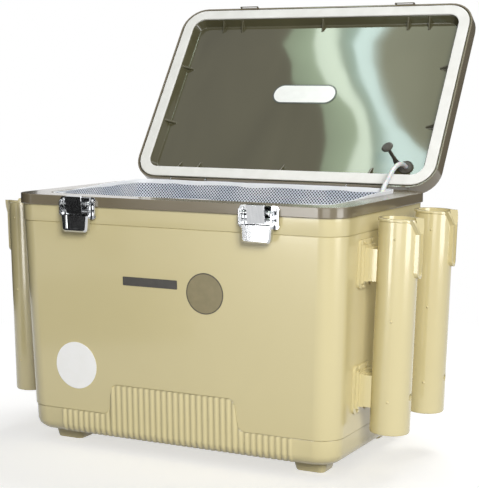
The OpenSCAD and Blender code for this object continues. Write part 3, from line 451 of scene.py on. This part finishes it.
def dressCopy(node, bevelMm, segments=2, smoothAngle=35, dissolve=0.6):
    source = frame["nodes"][node]
    piece = source.copy()
    piece.data = source.data.copy()
    for key in list(piece.keys()):
        if key.startswith("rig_"):
            del piece[key]
    piece.parent = None
    piece.name = node + "_dressed"
    scene.collection.objects.link(piece)
    selectOnly(piece)
    bpy.ops.object.mode_set(mode="EDIT")
    bpy.ops.mesh.select_all(action="SELECT")
    bpy.ops.mesh.remove_doubles(threshold=dressValues["weld"])
    bpy.ops.mesh.dissolve_limited(angle_limit=math.radians(dissolve))
    bpy.ops.object.mode_set(mode="OBJECT")
    if bevelMm:
        edge = piece.modifiers.new("mouldedEdge", "BEVEL")
        edge.width = bevelMm / 1000
        edge.segments = segments
        edge.limit_method = "ANGLE"
        edge.angle_limit = math.radians(dressValues["sharpAngle"])
        edge.use_clamp_overlap = True
        applyModifiers(piece)
    smoothByAngle(piece, smoothAngle)
    # Large flats keep their own shading up to the edge
    flats = piece.modifiers.new("evenFlats", "WEIGHTED_NORMAL")
    flats.weight = dressValues["flatWeight"]
    flats.keep_sharp = True
    applyModifiers(piece)
    return piece


def dress(node, material, bevelMm, **settings):
    piece = dressCopy(node, bevelMm, **settings)
    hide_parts(node)
    return finish(piece, material, node)


dress("tub_shell", tanShell, 0, smoothAngle=40, dissolve=0.05)
dress("rim_trim", taupeTrim, 1.0, segments=3)
dress("tub_liner", whiteLiner, 0.8, smoothAngle=40)
for node in ("foot_front_left", "foot_front_right", "foot_rear_left", "foot_rear_right"):
    dress(node, tanShell, 0.6, smoothAngle=40)
for place in ("front_left", "front_right", "rear_left", "rear_right"):
    dress(f"rod_holder_{place}", tanHolder, 0.5, smoothAngle=40)
    for level in ("upper", "lower"):
        dress(f"bracket_{place}_{level}", tanHolder, 1.0, segments=3)
dress("bracket_screws", tanHolder, 0.3)

for side in ("left", "right"):
    dress(f"latch_base_{side}", stainless, 0.3)
    dress(f"latch_lever_{side}", stainless, 0.4)
    dress(f"latch_claw_{side}", stainless, 0.35)
    dress(f"claw_pin_{side}", pinSteel, 0.25)
    dress(f"strike_{side}", hingeLook, 0.3)
    dress(f"hinge_tub_leaf_{side}", hingeLook, 0.4)
    dress(f"hinge_lid_leaf_{side}", hingeLook, 0.4)
for node in ("latch_pivot_pins", "latch_screws", "strike_screws",
             "hinge_pins", "hinge_tub_screws", "hinge_lid_screws"):
    dress(node, pinSteel, 0.25)

dress("lid_shell", taupeTrim, 0.5, smoothAngle=40)
dress("lid_panel", panelLook, 1.0, segments=3)
dress("lid_gasket", gasketLook, 1.2, segments=3)
dress("lid_label", lidPrint, 0.12)
dress("port_grommet", rubberLook, 0.3, smoothAngle=45)
dress("port_plug", rubberLook, 0.7, segments=3, smoothAngle=45)
stone = dress("air_stone", stoneLook, 0.6, smoothAngle=50)

dress("pump_case", pumpWhite, 1.5, segments=4)
dress("pump_bracket", pumpDark, 1.0)
dress("pump_switch", pumpBlue, 0.8, segments=3)

# Nodes that only an opened shell would show keep their CAD shape and get a material
for node, look in (("tub_foam", foamLook), ("lid_foam", foamLook),
                   ("pump_motor", motorGrey), ("pump_cells", cellJacket)):
    source = frame["nodes"][node]
    source.data.materials.clear()
    source.data.materials.append(look)
print("frame dressed")


labels = dressCopy("front_labels", 0.12)
selectOnly(labels)
bpy.ops.object.mode_set(mode="EDIT")
bpy.ops.mesh.select_all(action="SELECT")
bpy.ops.mesh.separate(type="LOOSE")
bpy.ops.object.mode_set(mode="OBJECT")


def middleX(plate):
    return sum(v.co.x for v in plate.data.vertices) / len(plate.data.vertices)


plates = sorted(bpy.context.selected_objects, key=middleX)  # from the left
plateLooks = (("labelLowDisc", whitePrint), ("labelBar", darkPrint), ("labelDisc", khakiPrint))
for plate, (name, look) in zip(plates, plateLooks):
    plate.name = name
    finish(plate, look, "front_labels")
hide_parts("front_labels")

# Sizes in tub millimetres, leans in degrees. floorRows of the "down" rows cross the floor; the first part of
# them, curlShare, is the rounded bottom edge. Folds grow over foldGrow below the hem and fade over foldFade
netValues = {
    "openingW": 432, "openingD": 258, "top": 352, "hemLow": 347, "underHem": 4, "floor": 53, "cornerR": 21,
    "tightestR": 2.0, "sideLean": 1.8, "frontLean": 2.2, "gap": 3.6, "floorR": 14, "cornerPull": 0.75,
    "middleGap": 36, "around": 280, "down": 64, "floorRows": 16, "curlShare": 0.3, "seed": 5,
    "foldDepth": 9, "foldGrow": 34, "foldFade": 30, "foldLow": 0.25, "foldMix": (0.55, 0.45, 0.5),
    "swellScale": (0.02, 0.02, 0.006), "slantScale": 0.05, "slantRise": 0.03, "slantSeed": 9.0,
    "floorLift": 2.2, "liftScale": 0.03, "liftSeed": 3.0, "liftBelow": 0.2, "smoothAngle": 180,
}


def roundedLoop(hx, hy, r, count):
    # Points evenly spaced round a rounded rectangle, each with the way out from it, and the whole length
    straightX, straightY, arc = 2 * (hx - r), 2 * (hy - r), math.pi * r / 2
    legs = [straightY, arc, straightX, arc, straightY, arc, straightX, arc]
    total = sum(legs)
    out = []
    for i in range(count):
        s = total * i / count
        leg = 0
        while s > legs[leg]:
            s -= legs[leg]
            leg += 1
        quarter = leg // 2
        along = [(0, 1), (-1, 0), (0, -1), (1, 0)][quarter]
        outward = [(1, 0), (0, 1), (-1, 0), (0, -1)][quarter]
        start = [(hx, -(hy - r)), (hx - r, hy), (-hx, hy - r), (-(hx - r), -hy)][quarter]
        if leg % 2 == 0:
            x, y = start[0] + along[0] * s, start[1] + along[1] * s
            out.append((x, y, outward[0], outward[1]))
        else:
            turn = s / r
            cx = [hx - r, -(hx - r), -(hx - r), hx - r][quarter]
            cy = [hy - r, hy - r, -(hy - r), -(hy - r)][quarter]
            base = [0, 90, 180, 270][quarter]
            a = math.radians(base) + turn
            out.append((cx + r * math.cos(a), cy + r * math.sin(a), math.cos(a), math.sin(a)))
    return out, total


def netRow(values, j):
    # Height of row j and how far it has turned in over the floor
    wallRows = values["down"] - values["floorRows"]
    top = values["hemLow"] + values["underHem"]
    floor, floorR = values["floor"], values["floorR"]
    if j <= wallRows:
        return top - (top - floor - floorR) * j / wallRows, 0
    share = (j - wallRows) / (values["down"] - wallRows)
    curl = values["curlShare"]
    if share < curl:
        a = share / curl * math.pi / 2
        return floor + floorR * (1 - math.sin(a)), floorR * (1 - math.cos(a))
    across = values["openingD"] / 2 - floorR - values["middleGap"]
    return floor, floorR + across * (share - curl) / (1 - curl)


def netPlace(values, x, y, nx, ny, z):
    # A point of the bag, moved in by the folds and, on the floor, up by the bag's slackness
    grown = min(1, max(0, (values["hemLow"] - z) / values["foldGrow"]))
    raised = min(1, max(0, (z - values["floor"]) / values["foldFade"]))
    sx, sy, sz = values["swellScale"]
    swell = noise.noise(Vector((x * sx, y * sy, z * sz + values["seed"])))
    scale, rise = values["slantScale"], z * values["slantRise"]
    slant = noise.noise(Vector((x * scale + rise, y * scale + rise, values["slantSeed"] + values["seed"])))
    always, swelling, slanting = values["foldMix"]
    fold = values["foldDepth"] * (always + swelling * swell + slanting * slant) * grown
    fold = max(0, fold * (values["foldLow"] + (1 - values["foldLow"]) * raised))
    lift = 0
    if raised <= values["liftBelow"]:
        scale = values["liftScale"]
        bumps = noise.noise(Vector((x * scale, y * scale, values["liftSeed"])))
        lift = values["floorLift"] * (1 + bumps) * (1 - raised / values["liftBelow"])
    return at(x - nx * fold, y - ny * fold, z + lift)


def netSurface(values):
    mesh = bpy.data.meshes.new("netBag")
    build = bmesh.new()
    uvLayer = build.loops.layers.uv.new("weave")
    rows = []
    for j in range(values["down"] + 1):
        z, pull = netRow(values, j)
        drop = values["top"] - z
        inset = values["gap"] + pull
        hx = values["openingW"] / 2 - drop * math.tan(math.radians(values["sideLean"])) - inset
        hy = values["openingD"] / 2 - drop * math.tan(math.radians(values["frontLean"])) - inset
        r = max(values["tightestR"], values["cornerR"] - pull * values["cornerPull"])
        loop, total = roundedLoop(hx, hy, r, values["around"])
        rows.append([build.verts.new(netPlace(values, *point, z)) for point in loop])
        if j == 0:
            wide = total / 1000
    along = [0.0]
    for a, b in zip(rows[:-1], rows[1:]):
        along.append(along[-1] + (a[0].co - b[0].co).length)
    n = values["around"]
    for j in range(len(rows) - 1):
        for i in range(n):
            k = (i + 1) % n
            face = build.faces.new((rows[j][i], rows[j][k], rows[j + 1][k], rows[j + 1][i]))
            for loop, (u, v) in zip(face.loops, ((i, j), (i + 1, j), (i + 1, j + 1), (i, j + 1))):
                loop[uvLayer].uv = (wide * u / n, -along[v])
    face = build.faces.new(rows[-1])
    for loop in face.loops:
        loop[uvLayer].uv = (loop.vert.co.x, loop.vert.co.y)
    bmesh.ops.triangulate(build, faces=[face])
    bmesh.ops.recalc_face_normals(build, faces=build.faces)
    build.to_mesh(mesh)
    build.free()
    piece = bpy.data.objects.new("netBag", mesh)
    scene.collection.objects.link(piece)
    smoothByAngle(piece, values["smoothAngle"])
    return piece


def netMaterial():
    # Knitted polyester mesh, 3.5 mm between its holes: white threads, and holes that are not cut but painted dark
    # blue-grey, a painted shade of what lies behind them
    material, tree, shader, where = newMaterial("whitePolyesterMesh", {"Roughness": 0.75, "Sheen Weight": 0.3})
    places = addNode(tree, "ShaderNodeMapping", {}, {
        "Vector": where.outputs["UV"], "Rotation": (0, 0, math.radians(45)), "Scale": (1000 / 3.5,) * 3})
    cell = addNode(tree, "ShaderNodeTexVoronoi", {"feature": "F1", "voronoi_dimensions": "2D"},
                   {"Vector": places.outputs["Vector"], "Scale": 1.0, "Randomness": 0.0})
    # Painted shade: the holes get a dark colour that stands in for the shaded liner seen through them
    paintedHoleShade = addRamp(tree, cell.outputs["Distance"], [(0.35, "#1C2434"), (0.40, "#EEF0F4")])
    cloud = addNoise(tree, where.outputs["Object"], 60, 2.0)
    shade = addRamp(tree, cloud.outputs["Fac"], [(0.3, "#D3DAE4"), (0.7, "#FFFFFF")])
    both = addNode(tree, "ShaderNodeMix", {"data_type": "RGBA", "blend_type": "MULTIPLY"})
    both.inputs[0].default_value = 1.0
    tree.links.new(paintedHoleShade.outputs["Color"], both.inputs[6])
    tree.links.new(shade.outputs["Color"], both.inputs[7])
    tree.links.new(both.outputs[2], shader.inputs["Base Color"])
    addBump(tree, shader, cell.outputs["Distance"], 0.6, 0.0006)
    return material


netBag = netSurface(netValues)
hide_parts("net_bag")
finish(netBag, netMaterial(), "net_bag")

# The tape's own sizes in millimetres: out is how far it stays inside the opening's edge, crown how far its
# rounded top stands over it, and frontDrop how much it sags towards the front
hemValues = {
    "low": 346, "high": 356.4, "crown": 0.35, "out": 1.4, "thick": 1.9, "around": 260, "down": 6, "cornerR": 23,
    "frontDrop": 4.4, "puff": 1.6, "rippleScale": 0.03, "rippleSeed": 2.0,
    "waver": 1.1, "waverLevel": 0.3, "waverScale": 0.018, "waverSeed": 7.0, "smoothAngle": 50,
}


def hemProfile(values):
    # Inset from the outside and height, up the tape's outside, over its top and down its inside
    tall, steps, thick = values["high"] - values["low"], values["down"], values["thick"]
    heights = [values["low"] + tall * k / steps for k in range(steps + 1)]
    up = [(0.0, z) for z in heights]
    down = [(thick, z) for z in reversed(heights)]
    return up + [(0.5 * thick, values["high"] + values["crown"])] + down


def hemPlace(values, x, y, nx, ny, inset, z, hy):
    f = (z - values["low"]) / (values["high"] - values["low"])
    scale = values["rippleScale"]
    ripple = 0.5 * noise.noise(Vector((x * scale, y * scale, values["rippleSeed"]))) + 0.5
    puff = values["puff"] * ripple * f * (1 - f) * 2
    scale = values["waverScale"]
    waver = noise.noise(Vector((x * scale, y * scale, values["waverSeed"]))) - values["waverLevel"]
    top = values["waver"] * waver * f
    top -= values["frontDrop"] * f * min(1, max(0, 0.5 - y / hy))
    return at(x - nx * (inset + puff), y - ny * (inset + puff), z + min(0, top))


def makeHem(values, net):
    mesh = bpy.data.meshes.new("netHem")
    build = bmesh.new()
    uvLayer = build.loops.layers.uv.new("weave")
    hx, hy = net["openingW"] / 2 - values["out"], net["openingD"] / 2 - values["out"]
    outer, total = roundedLoop(hx, hy, values["cornerR"], values["around"])
    profile = hemProfile(values)
    rings = [[build.verts.new(hemPlace(values, *point, inset, z, hy)) for point in outer] for inset, z in profile]
    n = values["around"]
    wide = total / 1000
    lengths = [0.0]
    for (a0, z0), (a1, z1) in zip(profile[:-1], profile[1:]):
        lengths.append(lengths[-1] + math.hypot(a1 - a0, z1 - z0) / 1000)
    lengths.append(lengths[-1] + values["thick"] / 1000)
    count = len(rings)
    for j in range(count):
        b = (j + 1) % count
        for i in range(n):
            k = (i + 1) % n
            face = build.faces.new((rings[j][i], rings[j][k], rings[b][k], rings[b][i]))
            for loop, (u, v) in zip(face.loops, ((i, j), (i + 1, j), (i + 1, j + 1), (i, j + 1))):
                loop[uvLayer].uv = (wide * u / n, lengths[v])
    bmesh.ops.recalc_face_normals(build, faces=build.faces)
    build.to_mesh(mesh)
    build.free()
    piece = bpy.data.objects.new("netHem", mesh)
    scene.collection.objects.link(piece)
    smoothByAngle(piece, values["smoothAngle"])
    return piece


def hemMaterial():
    # Woven polyester tape with a fine cross rib, 2 mm apart, and a slight sheen
    material, tree, shader, where = newMaterial("whiteWovenTape", {"Roughness": 0.7, "Sheen Weight": 0.4})
    rib = addNode(tree, "ShaderNodeTexWave", {"bands_direction": "X"},
                  {"Vector": where.outputs["UV"], "Scale": 1000 / 6.3, "Distortion": 0.4, "Detail": 1.0})
    cloud = addNoise(tree, where.outputs["Object"], 30, 3.0)
    paint(tree, shader, cloud.outputs["Fac"], [(0.3, "#ECEFF3"), (0.7, "#F6F7F8")])
    addBump(tree, shader, rib.outputs["Color"], 0.25, 0.0004)
    return material


netHem = makeHem(hemValues, netValues)
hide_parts("net_hem")
finish(netHem, hemMaterial(), "net_hem")
print("net bag hung")


# Strengths of the paper's own glow near the object and away from it, and where one fades to the other, in metres
floorValues = {"size": 12, "tone": 0.85, "glow": 0.62, "farGlow": 1.0, "fadeFrom": 0.45, "fadeTo": 1.0}


def paperFloor(values):
    bpy.ops.object.select_all(action="DESELECT")
    bpy.ops.mesh.primitive_plane_add(size=values["size"], location=(0, 0, 0))
    floor = bpy.context.view_layer.objects.active
    floor.name = "paperFloor"
    material, tree, shader, where = newMaterial("whiteStudioPaper", {"Roughness": 0.9, "Specular IOR Level": 0.0})
    shader.inputs["Base Color"].default_value = (values["tone"],) * 3 + (1,)
    rays = addNode(tree, "ShaderNodeLightPath")
    seen = addNode(tree, "ShaderNodeMath", {"operation": "MAXIMUM"})
    tree.links.new(rays.outputs["Is Camera Ray"], seen.inputs[0])
    tree.links.new(rays.outputs["Is Glossy Ray"], seen.inputs[1])
    glow = addNode(tree, "ShaderNodeEmission", {}, {"Color": (1, 1, 1, 1), "Strength": values["glow"]})
    plain = addNode(tree, "ShaderNodeEmission", {}, {"Color": (1, 1, 1, 1), "Strength": values["farGlow"]})
    both = addNode(tree, "ShaderNodeAddShader")
    tree.links.new(shader.outputs[0], both.inputs[0])
    tree.links.new(glow.outputs[0], both.inputs[1])
    reach = addNode(tree, "ShaderNodeVectorMath", {"operation": "LENGTH"}, {"Vector": where.outputs["Object"]})
    fade = addNode(tree, "ShaderNodeMapRange", {"interpolation_type": "SMOOTHSTEP"}, {
        "Value": reach.outputs["Value"], "From Min": values["fadeFrom"], "From Max": values["fadeTo"]})
    away = addNode(tree, "ShaderNodeMixShader", {}, {"Fac": fade.outputs["Result"]})
    tree.links.new(both.outputs[0], away.inputs[1])
    tree.links.new(plain.outputs[0], away.inputs[2])
    pick = addNode(tree, "ShaderNodeMixShader", {}, {"Fac": seen.outputs[0]})
    tree.links.new(shader.outputs[0], pick.inputs[1])
    tree.links.new(away.outputs[0], pick.inputs[2])
    tree.links.new(pick.outputs[0], tree.nodes["Material Output"].inputs["Surface"])
    floor.data.materials.append(material)
    return floor


worldValues = {"soft": 0.28, "seen": 1.0}


def whiteWorld(values):
    # White where it is seen, mirrored or looked at through the hose, and softer as a light
    world = bpy.data.worlds.new("whiteStudio")
    scene.world = world
    world.use_nodes = True
    tree = world.node_tree
    tree.nodes.clear()
    rays = addNode(tree, "ShaderNodeLightPath")
    first = addNode(tree, "ShaderNodeMath", {"operation": "MAXIMUM"})
    tree.links.new(rays.outputs["Is Camera Ray"], first.inputs[0])
    tree.links.new(rays.outputs["Is Glossy Ray"], first.inputs[1])
    second = addNode(tree, "ShaderNodeMath", {"operation": "MAXIMUM"})
    tree.links.new(first.outputs[0], second.inputs[0])
    tree.links.new(rays.outputs["Is Transmission Ray"], second.inputs[1])
    soft = addNode(tree, "ShaderNodeBackground", {}, {"Color": (1, 1, 1, 1), "Strength": values["soft"]})
    white = addNode(tree, "ShaderNodeBackground", {}, {"Color": (1, 1, 1, 1), "Strength": values["seen"]})
    pick = addNode(tree, "ShaderNodeMixShader", {}, {"Fac": second.outputs[0]})
    tree.links.new(soft.outputs[0], pick.inputs[1])
    tree.links.new(white.outputs[0], pick.inputs[2])
    out = addNode(tree, "ShaderNodeOutputWorld")
    tree.links.new(pick.outputs[0], out.inputs["Surface"])


lampValues = [
    {"name": "keySoftbox", "place": (1.95, -2.4, 1.6), "aim": (0.05, -0.1, 0.2), "size": (1.2, 1.2),
     "watts": 98, "offFloor": True, "noShine": True},
    {"name": "topSoftbox", "place": (0.1, 1.2, 2.4), "aim": (0, 0, 0.2), "size": (1.6, 1.0), "watts": 26},
    {"name": "frontStrip", "place": (-0.36, -1.8, 0.42), "aim": (0, 0, 0.42), "size": (0.46, 1.2),
     "watts": 12, "shineOnly": True},
    {"name": "lowFront", "place": (1.0, -2.15, 0.24), "aim": (0.35, 0, 0.24), "size": (1.1, 0.5),
     "watts": 5, "shineOnly": True},
    {"name": "rightStrip", "place": (1.75, -0.5, 0.14), "aim": (0.3, 0, 0.3), "size": (0.8, 0.24),
     "watts": 4, "shineOnly": True},
]


def addLamp(values):
    data = bpy.data.lights.new(values["name"], "AREA")
    data.shape = "RECTANGLE"
    data.size, data.size_y = values["size"]
    data.energy = values["watts"]
    lamp = bpy.data.objects.new(values["name"], data)
    scene.collection.objects.link(lamp)
    lamp.location = values["place"]
    lamp.rotation_mode = "QUATERNION"
    lamp.rotation_quaternion = (Vector(values["aim"]) - Vector(values["place"])).to_track_quat("-Z", "Y")
    lamp.visible_camera = False
    if values.get("offFloor"):
        lamp.light_linking.receiver_collection = offFloor
    if values.get("shineOnly"):
        lamp.visible_diffuse = False
    if values.get("noShine"):
        lamp.visible_glossy = False


def onlyMirrored(card, shades=False):
    # A studio card that shows in glossy surfaces, and where it shades also keeps the soft light off
    card.visible_camera = card.visible_shadow = card.visible_transmission = card.visible_volume_scatter = False
    card.visible_diffuse = shades


# Cards stand upright and turn about z, in degrees, unless they have a tilt of their own
flagValues = [
    {"name": "latchFlag", "place": (-1.04, -1.55, 0.6), "size": (0.64, 1.7), "turn": 33, "level": 0.02},
    {"name": "leftFlag", "place": (-1.25, 0.0, 0.6), "size": (2.4, 1.4), "turn": 90, "level": 0.03,
     "shades": True},
    {"name": "rightFlag", "place": (1.6, 1.3, 0.6), "size": (1.8, 1.4), "turn": -50, "level": 0.05,
     "shades": True},
    {"name": "backFlag", "place": (0.8, 1.9, 1.2), "size": (3.5, 2.5), "turn": 0, "level": 0.1},
    {"name": "latchMat", "place": (-0.62, -0.96, 0.004), "size": (0.44, 0.62), "turn": -30, "tilt": 0,
     "level": 0.02},
    {"name": "greyCard", "place": (-0.66, -1.7, 0.13), "size": (0.24, 0.12), "turn": 22, "level": 0.35},
]


def addFlag(values):
    tilt = math.radians(values.get("tilt", 90))
    bpy.ops.object.select_all(action="DESELECT")
    bpy.ops.mesh.primitive_plane_add(size=1, location=values["place"],
                                     rotation=(tilt, 0, math.radians(values["turn"])))
    card = bpy.context.view_layer.objects.active
    card.name = values["name"]
    card.scale = (*values["size"], 1)
    material = glowMaterial(values["name"] + "Flock")
    material.node_tree.nodes["Emission"].inputs["Strength"].default_value = values["level"]
    card.data.materials.append(material)
    onlyMirrored(card, values.get("shades", False))


def glowMaterial(name):
    material = bpy.data.materials.new(name)
    material.use_nodes = True
    tree = material.node_tree
    tree.nodes.clear()
    glow = addNode(tree, "ShaderNodeEmission")
    addNode(tree, "ShaderNodeOutputMaterial", {}, {"Surface": glow.outputs["Emission"]})
    return material


# Where the overhead skylight shows in the open lid's lining, in mm: each row is a distance up the lid from
# the hinge, then places across: the edge, the first bright streak's two sides, the second's, and the far side.
# The card hangs at height metres. acrossSteps says how far along the stops each of those places is
skylightValues = {
    "height": 1.95,
    "panelDeep": 14, "lidAngle": 124.2, "hinge": (165.6, 354.5),
    "rows": [
        (318, -50, -9, 22, 63, 118, 260), (270, -65, -4, 30, 54, 96, 260), (229, -33, 9, 49, 77, 105, 260),
        (195, -21, 27, 76, 95, 122, 260), (147, 31, 88, 111, 128, 146, 260), (114, 46, 107, 127, 145, 166, 260),
        (88, 57, 114, 136, 153, 200, 260), (64, 61, 111, 143, 156, 236, 262), (20, 66, 106, 150, 161, 240, 266),
    ],
    "acrossSteps": (0.0, 0.2, 0.4, 0.58, 0.78, 1.0),
    "stops": [(0.0, "#8DA08C", 0.8), (0.18, "#9DB29A", 0.85), (0.22, "#DCEEDB", 0.95), (0.36, "#DCEEDB", 1.0),
              (0.44, "#9DB3A6", 0.8), (0.56, "#9DB8AE", 0.85), (0.63, "#D6F0EC", 1.0), (0.75, "#D6F0EC", 0.95),
              (0.81, "#8E9384", 0.7), (1.0, "#8E9384", 0.5)],
    "power": 17,
}


def skylightCard(values):
    # A strip of faces whose mirror image, seen by the camera, falls on the rows above
    lean = math.radians(values["lidAngle"])
    up = Vector((0, -math.cos(lean), math.sin(lean)))
    outward = Vector((0, -math.sin(lean), -math.cos(lean)))
    foot = at(0, *values["hinge"]) - outward * values["panelDeep"] / 1000
    eye = cameraValues["place"]
    mesh = bpy.data.meshes.new("skylightCard")
    build = bmesh.new()
    uvLayer = build.loops.layers.uv.new("across")
    rows = []
    for far, *places in values["rows"]:
        row = []
        for across in places:
            spot = foot + up * far / 1000 + Vector((across / 1000, 0, 0))
            ray = (spot - eye).normalized()
            ray = ray - 2 * ray.dot(outward) * outward
            row.append(build.verts.new(spot + ray * (values["height"] - spot.z) / ray.z))
        rows.append(row)
    steps = values["acrossSteps"]
    for above, below in zip(rows[:-1], rows[1:]):
        for i in range(len(steps) - 1):
            face = build.faces.new((above[i], above[i + 1], below[i + 1], below[i]))
            for loop, u in zip(face.loops, (steps[i], steps[i + 1], steps[i + 1], steps[i])):
                loop[uvLayer].uv = (u, 0.5)
    build.to_mesh(mesh)
    build.free()
    card = bpy.data.objects.new("skylightCard", mesh)
    scene.collection.objects.link(card)
    material = glowMaterial("skylightGlow")
    tree = material.node_tree
    where = addNode(tree, "ShaderNodeTexCoord")
    split = addNode(tree, "ShaderNodeSeparateXYZ", {}, {"Vector": where.outputs["UV"]})
    tone = addRamp(tree, split.outputs["X"], values["stops"])
    tone.color_ramp.interpolation = "EASE"
    tree.links.new(tone.outputs["Color"], tree.nodes["Emission"].inputs["Color"])
    tree.nodes["Emission"].inputs["Strength"].default_value = values["power"]
    mesh.materials.append(material)
    onlyMirrored(card)


floor = paperFloor(floorValues)
whiteWorld(worldValues)
# The key light leaves the paper alone, so the shadow on it stays soft
offFloor = bpy.data.collections.new("offFloor")
offFloor.objects.link(floor)
offFloor.collection_objects[0].light_linking.link_state = "EXCLUDE"
for values in lampValues:
    addLamp(values)
for values in flagValues:
    addFlag(values)
skylightCard(skylightValues)
print("studio lit")
